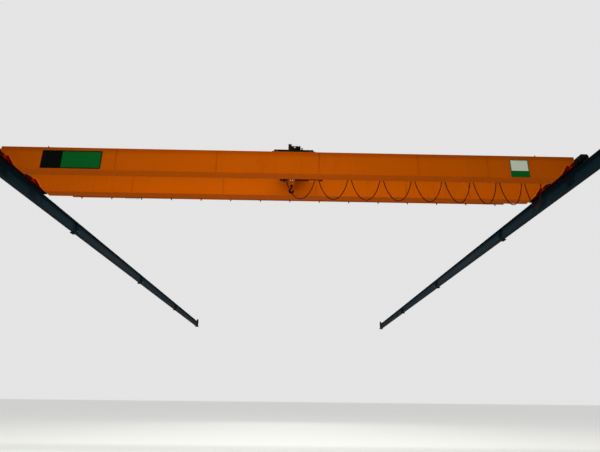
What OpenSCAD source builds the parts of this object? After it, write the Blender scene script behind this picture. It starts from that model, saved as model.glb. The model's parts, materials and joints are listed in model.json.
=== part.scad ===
// Double-girder overhead bridge crane on its two runway beams.
// X runs across the hall between the rails, Y along the runway, Z up.
// The origin is on the underside of the first bearing plate of the left runway.

/* [Runway] */
// Distance between the centres of the two runway rails
span = 17000; // [12000:100:20000]
// Length of one runway bay, from bearing to bearing
bay = 9000; // [8500:100:9500]
// Number of runway bays
bays = 4; // [3:1:4]
// Depth of a runway beam
beam_h = 400; // [330:10:500]
// Flange width of a runway beam
beam_w = 180; // [160:5:220]
// Flange thickness of a runway beam
beam_flange = 14; // [10:1:20]
// Web thickness of a runway beam
beam_web = 9; // [7:1:14]
// Root fillet between web and flange
beam_root = 21; // [12:1:27]
// Length that a runway beam runs past its last bearing
beam_overrun = 200; // [150:10:300]
// Gap between two beams over a bearing
beam_gap = 4; // [2:1:10]
// Width of a runway rail
rail_w = 50; // [40:1:60]
// Height of a runway rail
rail_h = 40; // [30:1:50]
// Bearing plate size across the runway
bearing_w = 320; // [300:10:400]
// Bearing plate size along the runway
bearing_l = 260; // [240:10:360]
// Bearing plate thickness
bearing_t = 25; // [15:1:40]
// Anchor hole radius in a bearing plate
anchor_r = 11; // [8:0.5:13]
// Anchor hole spacing across the runway
anchor_x = 250; // [240:5:260]
// Anchor hole spacing along the runway
anchor_y = 180; // [120:5:190]
// Height of a runway end stop above the beam
stop_h = 260; // [220:5:300]

/* [Bridge] */
// Where the middle of the bridge stands along the runway
bridge_y = 4565; // [3000:5:15000]
// Distance between the centres of the two girders
gauge = 1650; // [1500:10:1900]
// Depth of a girder at mid-span
girder_h = 720; // [600:10:850]
// Depth of a girder at its ends
girder_end_h = 300; // [280:5:340]
// Flange width of a girder
girder_w = 380; // [320:10:450]
// Flange thickness of a girder
girder_flange = 10; // [8:1:20]
// Web thickness of a girder
girder_web = 6; // [5:1:12]
// How far a flange stands proud of the web
flange_lip = 18; // [10:1:30]
// Thickness of a girder's end plate
end_plate = 20; // [12:1:30]
// Length of the full-depth bottom flange
bottom_l = 15920; // [11000:10:18000]
// Length of the tapered stretch at each girder end
taper_l = 340; // [300:10:400]
// How far a girder runs past the middle of the runway rail
girder_over = 65; // [40:5:90]

/* [End trucks] */
// Width of an end truck
truck_w = 260; // [240:5:300]
// Height of an end truck
truck_h = 130; // [120:5:150]
// Height of a wheel block
nose_h = 225; // [220:5:260]
// Plate thickness of a truck
truck_t = 8; // [6:1:12]
// Gap between a truck and the top of the rail
truck_lift = 15; // [10:1:25]
// Distance between the two wheels of a truck
wheelbase = 2900; // [2800:10:3000]
// Length of a wheel block
block_l = 300; // [280:5:340]
// Tread radius of a bridge wheel
wheel_r = 105; // [95:1:107]
// Height of a wheel's flange
wheel_flange = 12; // [10:1:13]
// Axle radius of a bridge wheel
axle_r = 30; // [20:1:40]
// Buffer radius
buffer_r = 50; // [35:1:60]
// Buffer length
buffer_l = 90; // [60:5:140]

/* [Trolley] */
// Where the middle of the trolley stands, from the left rail
trolley_x = 8600; // [8400:10:8700]
// How far the hook hangs from the trolley's middle, to the left
hook_shift = 50; // [0:5:80]
// Length of a trolley side frame
side_l = 1190; // [1150:10:1300]
// Width of a trolley side frame
side_w = 120; // [110:5:140]
// Height of a trolley side frame
side_h = 100; // [100:5:140]
// Gap between a side frame and the trolley rail
side_lift = 10; // [8:1:16]
// Plate thickness of the trolley
side_t = 8; // [6:1:12]
// Distance between the two wheels of a side frame
trolley_base = 1000; // [980:10:1040]
// Tread radius of a trolley wheel
trolley_r = 45; // [40:1:46]
// Height of a trolley wheel's flange
trolley_flange = 6; // [5:1:8]
// Trolley rail width
trail_w = 40; // [30:1:50]
// Trolley rail height
trail_h = 30; // [20:1:40]
// Width of a trolley crossbeam
cross_w = 100; // [80:5:120]
// Distance from the trolley's middle to a crossbeam
cross_x = 400; // [380:5:420]

/* [Hoist] */
// Drum radius at the rope's centre
drum_r = 150; // [130:1:170]
// Length of the grooved drum
drum_l = 600; // [500:10:640]
// Height of the drum's axis
drum_z = 700; // [680:5:720]
// Rope radius
rope_r = 6; // [4:0.5:7]
// Pitch of the rope grooves
groove_pitch = 16; // [15:0.5:20]
// Sheave radius at the rope's centre
sheave_r = 100; // [85:1:120]
// Distance from the block's middle to a sheave
sheave_x = 50; // [42:1:60]
// Height of the sheaves' axis with the hook up
block_z = 480; // [460:5:500]
// Radius of the hook's seat
seat_r = 36; // [30:1:42]
// Distance from the block's crosshead down to the seat's centre
hook_drop = 235; // [220:5:280]

/* [Festoon] */
// Distance from the front girder's centre to the festoon rail
festoon_off = 410; // [350:5:450]
// Outer size of the festoon rail
channel = 40; // [36:1:48]
// Wall thickness of the festoon rail
channel_t = 2.5; // [2:0.5:4]
// Width of the slot under the festoon rail
channel_slot = 14; // [12:0.5:18]
// Height of the festoon rail's underside
channel_z = 440; // [400:5:480]
// Length of a cable carrier
carrier_l = 100; // [80:2:110]
// Width of a cable carrier
carrier_w = 36; // [30:1:44]
// Cable radius
cable_r = 14; // [7:0.5:16]

/* [Hidden] */
$fn = 48;

// Length of an axle boss on a truck's side, and how far the axle's end stands out
boss_l = 15;
axle_end = 22;
// Clearance of a piece that rests on another
seat = 0.3;
// Small overlap of a cut past a face
cut = 1;

runway_l = bays * bay;
beam_top = bearing_t + beam_h;
rail_top = beam_top + rail_h;
truck_z = rail_top + truck_lift;
girder_top = truck_z + truck_h + girder_end_h;
girder_bottom = girder_top - girder_h;
girder_l = span + 2 * girder_over;
front_y = bridge_y - gauge / 2;
rear_y = bridge_y + gauge / 2;
mid_x = span / 2;
truck_half = (wheelbase - block_l) / 2;
wheel_z = rail_top + wheel_r + seat;
trail_top = girder_top + trail_h;
side_z = trail_top + side_lift;
side_top = side_z + side_h;
trolley_wheel_z = trail_top + trolley_r + seat;
hook_x = trolley_x - hook_shift;
festoon_y = front_y + festoon_off;
stop_gap = 10;
// Thickness of an end stop's upright plate, and where its strike face stands
stop_t = 20;
stop_in = 80;
stop_face = beam_overrun - stop_in;
// How far the trolley runs either way, and its buffer's length
travel = 6700;
trolley_buffer = 60;
stop_left = trolley_x - travel - side_l / 2 - trolley_buffer - stop_gap;
stop_right = trolley_x + travel + side_l / 2 + trolley_buffer + stop_gap;

// The drum hangs so that its ropes fall plumb to the block's rear side
drum_y = bridge_y + sheave_r + drum_r;
groove_r = rope_r + 0.5;
// Last groove of each half, counted outwards from the sheave's plane
groove_last = floor((drum_l / 2 - 20 - sheave_x) / groove_pitch);
wrap_n = 5;
function groove_x(i) = sheave_x + i * groove_pitch;
bracket_x = hook_x - drum_l / 2 - 26;
gear_x = hook_x + drum_l / 2 + 14;
gear_l = 240;
gear_w = 260;
gear_h = 220;
motor_x = gear_x + gear_l;
motor_l = 446;
eq_y = bridge_y - sheave_r;
eq_z = side_z - 75;

// Block cheeks, crosshead and hook seat
cheek_x = 80;
cheek_t = 12;
crosshead_h = 60;
cross_z = block_z - sheave_r - 65;
seat_z = cross_z - hook_drop;
// Hook stations: angle round the seat, gap from the seat's wall, depth and width of the section
HOOK = [
    [118, 12, 40, 36], [140, 3, 46, 38], [165, 0, 52, 40], [190, 0, 56, 42], [215, 0, 60, 44],
    [240, 0, 62, 46], [265, 0, 62, 46], [290, 0, 58, 44], [315, 0, 52, 40], [340, 0, 44, 36],
    [362, 1, 36, 30], [380, 4, 28, 24], [394, 9, 18, 16], [402, 14, 8, 8]
];
hook_sides = 16;

// Festoon: the fixed end, then one span for each loop
clamp_x = 16280;
// Clear spans from carrier to carrier, from the fixed end towards the trolley
LOOP_SPANS = [570, 790, 810, 880, 940, 970, 990, 1010, 1000];
// How low each loop hangs under its carriers
LOOP_DROPS = [870, 815, 810, 785, 765, 755, 750, 745, 745];
// A loop's outline: distance from its middle and height, as shares of its half width and its drop
LOOP_SHAPE = [[-1, 0], [-0.93, -0.2], [-0.75, -0.54], [-0.4, -0.88], [0, -1],
    [0.4, -0.88], [0.75, -0.54], [0.93, -0.2], [1, 0]];
function span_sum(n) = n <= 0 ? 0 : LOOP_SPANS[n - 1] + span_sum(n - 1);
function carrier_x(n) = clamp_x - span_sum(n);
tow_x = carrier_x(9);
cable_top = channel_z - 55;
lead = 38;
cable_sides = 8;
festoon_x0 = trolley_x - travel - 500;
festoon_x1 = clamp_x + 60;
bracket_pitch = 1500;
bracket_n = floor((festoon_x1 - festoon_x0 - 200) / bracket_pitch);

// Second channel on the rear girder
pendant_y = rear_y + girder_w / 2 + 90;
pendant_n = 14;
pendant_pitch = 990;
web_out_y = rear_y + girder_w / 2 - flange_lip;

// Colours
orange = [0.88, 0.47, 0.06];
red_orange = [0.74, 0.26, 0.08];
petrol = [0.08, 0.17, 0.24];
steel = [0.55, 0.56, 0.58];
dark = [0.10, 0.10, 0.11];
rubber = [0.05, 0.05, 0.05];
grey = [0.60, 0.62, 0.64];
cable_red = [0.30, 0.06, 0.04];

// Profiles are drawn in the YZ plane or the XZ plane and carried along the third axis.
module along_x(length) {
    translate([-length / 2, 0, 0]) rotate([90, 0, 90]) linear_extrude(length) children();
}
module along_y(length) {
    translate([0, length / 2, 0]) rotate([90, 0, 0]) linear_extrude(length) children();
}
module rod_x(r, length) {
    rotate([0, 90, 0]) cylinder(r = r, h = length, center = true);
}
module rod_y(r, length) {
    rotate([90, 0, 0]) cylinder(r = r, h = length, center = true);
}
module block(x, y, z) {
    translate([-x / 2, -y / 2, 0]) cube([x, y, z]);
}

// Rolled I section with root fillets, its underside at zero height
module i_section(h, w, flange, web, root) {
    difference() {
        translate([-w / 2, 0]) square([w, h]);
        for (side = [-1, 1]) {
            i_flute(h, w, flange, web, root, side);
        }
    }
}
module i_flute(h, w, flange, web, root, side) {
    x0 = web / 2;
    difference() {
        translate([side > 0 ? x0 : -x0 - w, flange]) square([w, h - 2 * flange]);
        for (top = [0, 1]) {
            i_root(h, flange, x0, root, side, top);
        }
    }
}
module i_root(h, flange, x0, root, side, top) {
    z = top == 1 ? h - flange - root : flange;
    zc = top == 1 ? h - flange - root : flange + root;
    difference() {
        translate([side > 0 ? x0 : -x0 - root, z]) square(root);
        translate([side * (x0 + root), zc]) circle(root);
    }
}

// Runway

module runway_beam(from, to) {
    length = to - from;
    translate([0, (from + to) / 2, bearing_t]) {
        along_y(length) i_section(beam_h, beam_w, beam_flange, beam_web, beam_root);
        for (end = [-1, 1]) {
            translate([0, end * (length / 2 - 60), beam_flange]) beam_stiffener();
        }
    }
}
module beam_stiffener() {
    depth = beam_h - 2 * beam_flange;
    reach = beam_w / 2 - 8;
    for (side = [-1, 1]) {
        difference() {
            translate([side > 0 ? 0 : -reach, -6, 0]) cube([reach, 12, depth]);
            for (z = [0, depth]) {
                translate([side * beam_web / 2, 0, z]) rod_y(beam_root + 4, 14);
            }
        }
    }
}
module runway_beams(x) {
    color(petrol) for (i = [0:bays - 1]) {
        from = i == 0 ? -beam_overrun : i * bay + beam_gap / 2;
        to = i == bays - 1 ? runway_l + beam_overrun : (i + 1) * bay - beam_gap / 2;
        translate([x, 0, 0]) runway_beam(from, to);
    }
}
module runway_rail(x) {
    color(steel) translate([x, runway_l / 2, beam_top])
        along_y(runway_l + 2 * stop_face)
            rail_section(rail_w, rail_h);
}
module rail_section(w, h) {
    r = 5;
    translate([-w / 2, 0]) square([w, h - r]);
    translate([-w / 2 + r, 0]) square([w - 2 * r, h]);
    for (side = [-1, 1]) {
        translate([side * (w / 2 - r), h - r]) circle(r);
    }
}
module bearing_plates() {
    color(petrol) for (x = [0, span], i = [0:bays]) {
        translate([x, i * bay, 0]) difference() {
            block(bearing_w, bearing_l, bearing_t);
            for (sx = [-1, 1], sy = [-1, 1]) {
                translate([sx * anchor_x / 2, sy * anchor_y / 2, -cut])
                    cylinder(r = anchor_r, h = bearing_t + 2 * cut);
            }
        }
    }
}
module runway_stops() {
    color(red_orange) for (x = [0, span], end = [-1, 1]) {
        y = end < 0 ? -stop_face : runway_l + stop_face;
        translate([x, y, beam_top]) scale([1, end, 1]) runway_stop();
    }
}
// An upright plate across the beam with a raked rib behind its strike face
module runway_stop() {
    block_from_y(beam_w - 20, stop_t, stop_h);
    along_x(12) polygon([
        [stop_t, 0], [stop_in - 4, 0], [stop_t + 8, stop_h * 0.85], [stop_t, stop_h * 0.85]
    ]);
}
module block_from_y(x, y, z) {
    translate([-x / 2, 0, 0]) cube([x, y, z]);
}

// Girders

// A corner of the underside, moved inward by inset, where the slope turns from angle a to b
function inset_corner(x, z, a, b, inset) =
    [x, z] + inset / cos((b - a) / 2) * [-sin((a + b) / 2), cos((a + b) / 2)];
// The taper's three corners: its lower stretch is flatter than its upper one
function taper_corners(inset) =
    let (
        rise = girder_h - girder_end_h,
        x = [bottom_l / 2, bottom_l / 2 + 0.45 * taper_l, bottom_l / 2 + taper_l],
        z = [girder_bottom, girder_bottom + 0.33 * rise, girder_bottom + rise],
        a = [0, atan2(z[1] - z[0], x[1] - x[0]), atan2(z[2] - z[1], x[2] - x[1]), 0]
    ) [for (i = [0:2]) inset_corner(x[i], z[i], a[i], a[i + 1], inset)];
// Side outline of a girder, drawn inside its plates by inset and by end_inset at the ends
function girder_outline(inset, end_inset) =
    let (half = girder_l / 2 - end_inset, t = taper_corners(inset), top = girder_top - inset) [
        [-half, top], [-half, t[2][1]], for (i = [2:-1:0]) [-t[i][0], t[i][1]],
        each t, [half, t[2][1]], [half, top]
    ];
module girder(y) {
    web_y = girder_w / 2 - flange_lip;
    inner_w = 2 * (web_y - girder_web);
    color(orange) translate([mid_x, y, 0]) difference() {
        along_y(girder_w) polygon(girder_outline(0, 0));
        along_y(inner_w) polygon(girder_outline(girder_flange, end_plate));
        for (side = [-1, 1]) {
            translate([0, side * (web_y + flange_lip / 2 + cut / 2), 0])
                along_y(flange_lip + cut) polygon(girder_outline(girder_flange, end_plate));
        }
    }
}

// End trucks

module truck(x) {
    color(red_orange) translate([x, bridge_y, truck_z]) difference() {
        block(truck_w, 2 * truck_half, truck_h);
        translate([0, 0, truck_t])
            block(truck_w - 2 * truck_t, 2 * (truck_half - truck_t), truck_h - 2 * truck_t);
    }
}
// End outline of a wheel block, drawn inside its plates by inset and open below
function block_outline(inset) =
    let (
        x = truck_w / 2 - inset,
        z0 = inset > 0 ? truck_z - 40 : truck_z,
        z1 = truck_z + nose_h - inset,
        c = 45 - inset * 0.59
    ) [[-x, z0], [x, z0], [x, z1 - c], [x - c, z1], [-x + c, z1], [-x, z1 - c]];
module wheel_blocks() {
    color(dark) for (x = [0, span], end = [-1, 1]) {
        translate([x, bridge_y + end * wheelbase / 2, 0]) wheel_block();
    }
}
// Housing round a wheel, with a boss for its axle on either side
module wheel_block() {
    difference() {
        union() {
            along_y(block_l) polygon(block_outline(0));
            translate([0, 0, wheel_z]) rod_x(axle_r + 35, truck_w + 2 * boss_l);
        }
        along_y(block_l - 2 * truck_t) polygon(block_outline(truck_t));
        translate([0, 0, wheel_z]) rod_x(axle_r + seat, truck_w + 60);
    }
}
module flanged_wheel(tread_r, flange_h, tread_w, flange_w, bore_r) {
    half = tread_w / 2;
    out = half + flange_w;
    rotate([0, 90, 0]) rotate_extrude($fn = 72) polygon([
        [bore_r, -out], [tread_r + flange_h, -out], [tread_r + flange_h, -half - 2],
        [tread_r, -half], [tread_r, half], [tread_r + flange_h, half + 2],
        [tread_r + flange_h, out], [bore_r, out]
    ]);
}
module bridge_wheels() {
    color(steel) for (x = [0, span], end = [-1, 1]) {
        translate([x, bridge_y + end * wheelbase / 2, wheel_z]) {
            flanged_wheel(wheel_r, wheel_flange, rail_w + 10, 12, axle_r - 1);
            rod_x(axle_r, truck_w + 2 * axle_end);
        }
    }
}
// Geared travel motor on the inner side of each truck, over its rear wheel
module bridge_drives() {
    color(petrol) for (x = [0, span]) {
        inward = x == 0 ? 1 : -1;
        translate([x + inward * (truck_w / 2 + boss_l + seat), bridge_y + wheelbase / 2, wheel_z])
            rotate([0, 0, inward > 0 ? 0 : 180]) travel_drive();
    }
}
module travel_drive() {
    difference() {
        translate([40, 0, -70]) block(80, 150, 240);
        rod_x(axle_r + seat, 2 * (axle_end - boss_l) + 2);
    }
    translate([-boss_l - seat, -30, 80]) cube([boss_l + seat + cut, 60, 50]);
    translate([80, 0, 90]) rotate([0, 90, 0]) motor(62, 275, 16);
}
// A finned motor along Z, from its flange to its fan cover
module motor(r, length, fins) {
    cover = r * 0.8;
    cylinder(r = r * 1.22, h = 18);
    cylinder(r = r, h = length - 10);
    for (k = [0:fins - 1]) {
        rotate([0, 0, (k + 0.5) * 360 / fins])
            translate([0, -2, 24]) cube([r * 1.15, 4, length - cover - 36]);
    }
    translate([0, 0, length - cover]) cylinder(r = r * 1.18, h = cover);
}
module bridge_buffers() {
    color(rubber) for (x = [0, span], end = [-1, 1]) {
        translate([x, bridge_y + end * (wheelbase + block_l + buffer_l) / 2, truck_z + nose_h / 2])
            rotate([end > 0 ? -90 : 90, 0, 0]) buffer();
    }
}
module buffer() {
    translate([0, 0, -buffer_l / 2]) cylinder(r = buffer_r + 8, h = 12);
    translate([0, 0, -buffer_l / 2 + 12]) cylinder(r1 = buffer_r - 8, r2 = buffer_r, h = 20);
    translate([0, 0, -buffer_l / 2 + 32]) cylinder(r = buffer_r, h = buffer_l - 32);
}

// Rails and stops on the girders

module trolley_rails() {
    color(steel) for (y = [front_y, rear_y]) {
        translate([(stop_left + stop_right) / 2, y, girder_top])
            along_x(stop_right - stop_left) rail_section(trail_w, trail_h);
    }
}
module trolley_stops() {
    color(red_orange) for (y = [front_y, rear_y], side = [-1, 1]) {
        x = side < 0 ? stop_left : stop_right;
        translate([x + side * 8, y, girder_top]) block(16, 100, 110);
        translate([x + side * 16, y, girder_top]) along_y(10)
            polygon([[0, 0], [side * 90, 0], [side * 10, 100], [0, 100]]);
    }
}
module festoon_rail() {
    half = channel / 2;
    lip = (channel - channel_slot) / 2;
    color(steel) translate([(festoon_x0 + festoon_x1) / 2, festoon_y, channel_z])
        along_x(festoon_x1 - festoon_x0) difference() {
            translate([-half, 0]) square([channel, channel]);
            translate([-half + channel_t, channel_t])
                square([channel - 2 * channel_t, channel - 2 * channel_t]);
            translate([-half + lip, -cut]) square([channel_slot, channel_t + 2 * cut]);
        }
}
// Angle arms from the front girder's web to the festoon rail
module festoon_brackets() {
    web_face = front_y + girder_w / 2 - flange_lip;
    reach = festoon_y + channel / 2 - web_face;
    color(orange) for (i = [0:bracket_n]) {
        translate([festoon_x1 - 100 - i * bracket_pitch, web_face, channel_z + channel]) {
            translate([-25, 0, 0]) cube([50, reach, 6]);
            translate([-3, 0, 0]) cube([6, reach, 45]);
            translate([-25, 0, -40]) cube([50, 6, 100]);
        }
    }
}
module festoon_end_clamp() {
    color(steel) translate([clamp_x, festoon_y, 0]) {
        translate([0, 0, channel_z - 30]) block(30, channel, 30);
        translate([0, 0, cable_top]) block(40, 40, channel_z - 30 - cable_top);
    }
}
// A second channel along the rear girder's outer side, held by short angles
module pendant_rail() {
    color(orange) {
        translate([mid_x, pendant_y, girder_bottom + 6]) along_x(pendant_pitch * pendant_n + 600)
            difference() {
                translate([-channel / 2, 0]) square([channel, channel]);
                translate([-channel / 2 + channel_t, channel_t])
                    square([channel - 2 * channel_t, channel - 2 * channel_t]);
                translate([-channel_slot / 2, -cut]) square([channel_slot, channel_t + 2 * cut]);
            }
        for (i = [0:pendant_n]) {
            translate([mid_x + (i - pendant_n / 2) * pendant_pitch, 0, girder_bottom]) {
                translate([-20, web_out_y, 6 + channel])
                    cube([40, pendant_y + channel / 2 - web_out_y, 6]);
                translate([-20, web_out_y, 6 + channel]) cube([40, 6, 60]);
            }
        }
    }
}
module control_cabinet() {
    color(grey) translate([mid_x - 5200, web_out_y, girder_top - 120 - 500]) {
        translate([0, 30, 0]) block_from_y(700, 220, 500);
        for (x = [-280, 280]) {
            translate([x, 0, 60]) block_from_y(40, 30, 380);
        }
        translate([0, 250, 12]) block_from_y(676, 6, 476);
    }
}

// Trolley

module trolley_side(y) {
    color(dark) translate([trolley_x, y, side_z]) difference() {
        block(side_l, side_w, side_h);
        translate([0, 0, -cut]) block(side_l - 2 * side_t, side_w - 2 * side_t, side_h - side_t + cut);
        for (end = [-1, 1]) {
            translate([end * trolley_base / 2, 0, trolley_wheel_z - side_z]) rod_y(18 + seat, side_w + 40);
        }
    }
}
module trolley_crossbeams() {
    inner = gauge - side_w;
    color(dark) for (side = [-1, 1]) {
        translate([trolley_x + side * cross_x, bridge_y, side_z]) difference() {
            along_y(inner) square_tube(cross_w, side_h, 0);
            along_y(inner - 2 * side_t) square_tube(cross_w, side_h, side_t);
        }
    }
}
module square_tube(w, h, inset) {
    translate([-w / 2 + inset, inset]) square([w - 2 * inset, h - 2 * inset]);
}
module trolley_wheels() {
    color(steel) for (y = [front_y, rear_y], end = [-1, 1]) {
        translate([trolley_x + end * trolley_base / 2, y, trolley_wheel_z]) {
            rotate([0, 0, 90]) flanged_wheel(trolley_r, trolley_flange, trail_w + 8, 8, 17);
            rod_y(18, side_w + 24);
        }
    }
}
module trolley_buffers() {
    color(rubber) for (y = [front_y, rear_y], end = [-1, 1]) {
        translate([trolley_x + end * (side_l + trolley_buffer) / 2, y, side_z + side_h / 2])
            rod_x(30, trolley_buffer);
    }
}
// Cross-travel gear case, motor and terminal box on the front side frame
module trolley_drive() {
    color(dark) translate([trolley_x, front_y + 10, side_top]) {
        translate([-115, 0, 0]) block(100, 130, 225);
        translate([-66, 0, 105]) rotate([0, 90, 0]) motor(58, 270, 14);
        translate([30, 0, 0]) block(130, 90, 60);
        translate([250, 0, 0]) block(60, 80, 75);
    }
}
module trolley_control_box() {
    color(grey) translate([trolley_x, rear_y - 260, side_top]) {
        block(2 * cross_x + cross_w, 260, 14);
        translate([0, 0, 14]) block(460, 220, 260);
        translate([0, -118, 34]) block(440, 16, 220);
    }
}
// Arm that pushes and pulls the first cable carrier
module tow_arm() {
    y = festoon_y + 100;
    x = tow_x;
    reach = y - 15 - festoon_y - carrier_w / 2 - seat;
    color(dark) {
        translate([x, y, side_z]) block(40, 40, 60);
        translate([trolley_x - cross_x + cross_w / 2, y - 20, side_z])
            cube([max(x - trolley_x + cross_x - cross_w / 2, 1), 40, 60]);
        translate([x, y, cable_top + 6]) block(30, 30, side_z - cable_top - 6);
        translate([x, y - 15, cable_top + 6]) block_to_y(30, reach, 20);
    }
}
module block_to_y(x, y, z) {
    translate([-x / 2, -y, 0]) cube([x, y, z]);
}

// Hoist

// The drum's half section, its rope grooves scalloped out of the rim
module drum_section() {
    rim = drum_r - 2;
    difference() {
        union() {
            translate([rim - 16, -drum_l / 2]) square([16, drum_l]);
            for (end = [-1, 1]) {
                translate([20, end * (drum_l / 2 - 6) - 6]) square([drum_r, 12]);
            }
        }
        for (side = [-1, 1], i = [0:groove_last]) {
            translate([drum_r, side * groove_x(i)]) circle(groove_r, $fn = 24);
        }
    }
}
module hoist_drum() {
    color(red_orange) translate([hook_x, drum_y, drum_z]) {
        rotate([0, 90, 0]) rotate_extrude($fn = 96) drum_section();
        rod_x(25, drum_l + 60);
    }
}
// Plate that carries the drum's left end under the crossbeam, and the limit switch box on it
module drum_bracket() {
    color(dark) translate([bracket_x, drum_y, 0]) difference() {
        union() {
            along_x(16) polygon([
                [-110, side_z], [-60, drum_z - 150], [60, drum_z - 150], [110, side_z]
            ]);
            translate([-30.5, 0, drum_z - 150]) block(45, 110, 105);
        }
        translate([0, 0, drum_z]) rod_x(25 + seat, 40);
    }
}
module hoist_gearbox() {
    color(red_orange) translate([gear_x, drum_y, drum_z]) difference() {
        union() {
            translate([0, -gear_w / 2, -gear_h / 2]) cube([gear_l, gear_w, gear_h]);
            translate([40, -gear_w / 2 - 10, -gear_h / 2 - 8]) cube([12, gear_w + 20, gear_h + 16]);
            translate([gear_l - 90, -90, gear_h / 2]) cube([80, 180, side_z - drum_z - gear_h / 2]);
        }
        translate([-cut, 0, 0]) rotate([0, 90, 0]) cylinder(r = 25 + seat, h = 20);
    }
}
module hoist_motor() {
    color(red_orange) translate([motor_x, drum_y, drum_z]) {
        rotate([0, 90, 0]) motor(125, motor_l, 24);
        translate([motor_l * 0.4, 0, 115]) block(150, 130, 70);
    }
}
// Beam between the crossbeams with the small sheave that evens the rope out
module equalizer() {
    length = 2 * cross_x - cross_w;
    color(dark) translate([trolley_x, eq_y, side_z]) along_x(length) square_tube(60, side_h, 0);
    color(steel) translate([hook_x, eq_y, 0]) {
        for (side = [-1, 1]) {
            translate([0, side * 24, eq_z - 30]) block(70, 8, side_z - eq_z + 30);
        }
        translate([0, 0, eq_z]) {
            rod_y(12, 70);
            rotate([90, 0, 0]) sheave(sheave_x, 34);
        }
    }
}
// A grooved sheave about the Z axis, r at the rope's centre
module sheave(r, width) {
    rim = r + rope_r;
    rotate_extrude($fn = 72) difference() {
        translate([11, -width / 2]) square([rim - 11, width]);
        translate([r + 1, 0]) circle(rope_r + 1, $fn = 24);
        translate([r + 1, -rope_r - 1]) square([rope_r + 4, 2 * rope_r + 2]);
    }
}
// Turns of rope on the drum, the first one from the fall over the top, and the bend over the
// small sheave with its two ends down to the level of the drum's axis
module upper_rope() {
    color(steel) {
        translate([hook_x, drum_y, drum_z]) rotate([0, 90, 0])
            for (side = [-1, 1], i = [0:wrap_n - 1]) {
                translate([0, 0, side * groove_x(i)])
                    rotate_extrude(angle = i == 0 ? 270 : 360, $fn = 96)
                        translate([drum_r, 0]) circle(rope_r, $fn = 16);
            }
        translate([hook_x, eq_y, eq_z]) rotate([90, 0, 0])
            rotate_extrude(angle = 180, $fn = 48) translate([sheave_x, 0]) circle(rope_r, $fn = 16);
        for (side = [-1, 1]) {
            translate([hook_x + side * sheave_x, eq_y, drum_z])
                cylinder(r = rope_r, h = eq_z - drum_z, $fn = 16);
        }
    }
}
module rope_falls() {
    color(steel) for (side = [-1, 1]) {
        translate([hook_x + side * sheave_x, bridge_y, block_z]) {
            for (y = [-sheave_r, sheave_r]) {
                translate([0, y, 0]) cylinder(r = rope_r, h = drum_z - block_z, $fn = 16);
            }
        }
    }
}

// Hook block and hook

module hook_block() {
    color(orange) translate([hook_x, bridge_y, 0]) {
        for (side = [-1, 1]) {
            translate([side * cheek_x, 0, 0]) block_cheek();
        }
        translate([0, 0, block_z]) rod_x(20, 2 * cheek_x + 40);
        translate([0, 0, cross_z - crosshead_h / 2]) difference() {
            block(2 * cheek_x - cheek_t, 80, crosshead_h);
            translate([0, 0, -cut]) cylinder(r = 22, h = crosshead_h + 2 * cut);
        }
    }
}
module block_cheek() {
    along_x(cheek_t) {
        translate([0, block_z]) circle(sheave_r + 18, $fn = 64);
        polygon([
            [-sheave_r - 18, block_z], [-55, cross_z - 45], [55, cross_z - 45], [sheave_r + 18, block_z]
        ]);
    }
}
module block_sheaves() {
    color(grey) translate([hook_x, bridge_y, block_z]) for (side = [-1, 1]) {
        translate([side * sheave_x, 0, 0]) rotate([0, 90, 0]) difference() {
            sheave(sheave_r, 34);
            cylinder(r = 20 + seat, h = 60, center = true);
        }
    }
}
module block_rope() {
    color(steel) translate([hook_x, bridge_y, block_z]) for (side = [-1, 1]) {
        translate([side * sheave_x, 0, 0]) rotate([0, 90, 0]) rotate([0, 0, -90])
            rotate_extrude(angle = 180, $fn = 72) translate([sheave_r, 0]) circle(rope_r, $fn = 16);
    }
}

function hook_ring(s) =
    let (r = seat_r + s[1] + s[2] / 2)
    [for (k = [0:hook_sides - 1])
        let (a = k * 360 / hook_sides, d = r + s[2] / 2 * cos(a))
        [d * cos(s[0]), s[3] / 2 * sin(a), seat_z + d * sin(s[0])]];
function neck_ring(x, z, r) =
    [for (k = [0:hook_sides - 1])
        let (a = k * 360 / hook_sides)
        [x - r * cos(a), r * sin(a), z]];
module ring_loft(rings) {
    n = len(rings[0]);
    last = len(rings) - 1;
    polyhedron(
        points = [for (ring = rings) each ring],
        faces = concat(
            [[for (k = [0:n - 1]) k]],
            [for (j = [0:last - 1], k = [0:n - 1])
                [j * n + k, (j + 1) * n + k, (j + 1) * n + (k + 1) % n, j * n + (k + 1) % n]],
            [[for (k = [n - 1:-1:0]) last * n + k]]
        )
    );
}
module hook() {
    nut_z = cross_z + crosshead_h / 2 + seat;
    color(dark) translate([hook_x, bridge_y, 0]) {
        ring_loft(concat(
            [neck_ring(0, cross_z - 32, 20), neck_ring(0, cross_z - 90, 21),
             neck_ring(-10, seat_z + 95, 22)],
            [for (s = HOOK) hook_ring(s)]
        ));
        translate([0, 0, cross_z - 33]) cylinder(r = 20, h = nut_z - cross_z + 33 + cut);
        translate([0, 0, nut_z]) cylinder(r = 31, h = 18, $fn = 6);
    }
}

// Festoon

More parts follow.
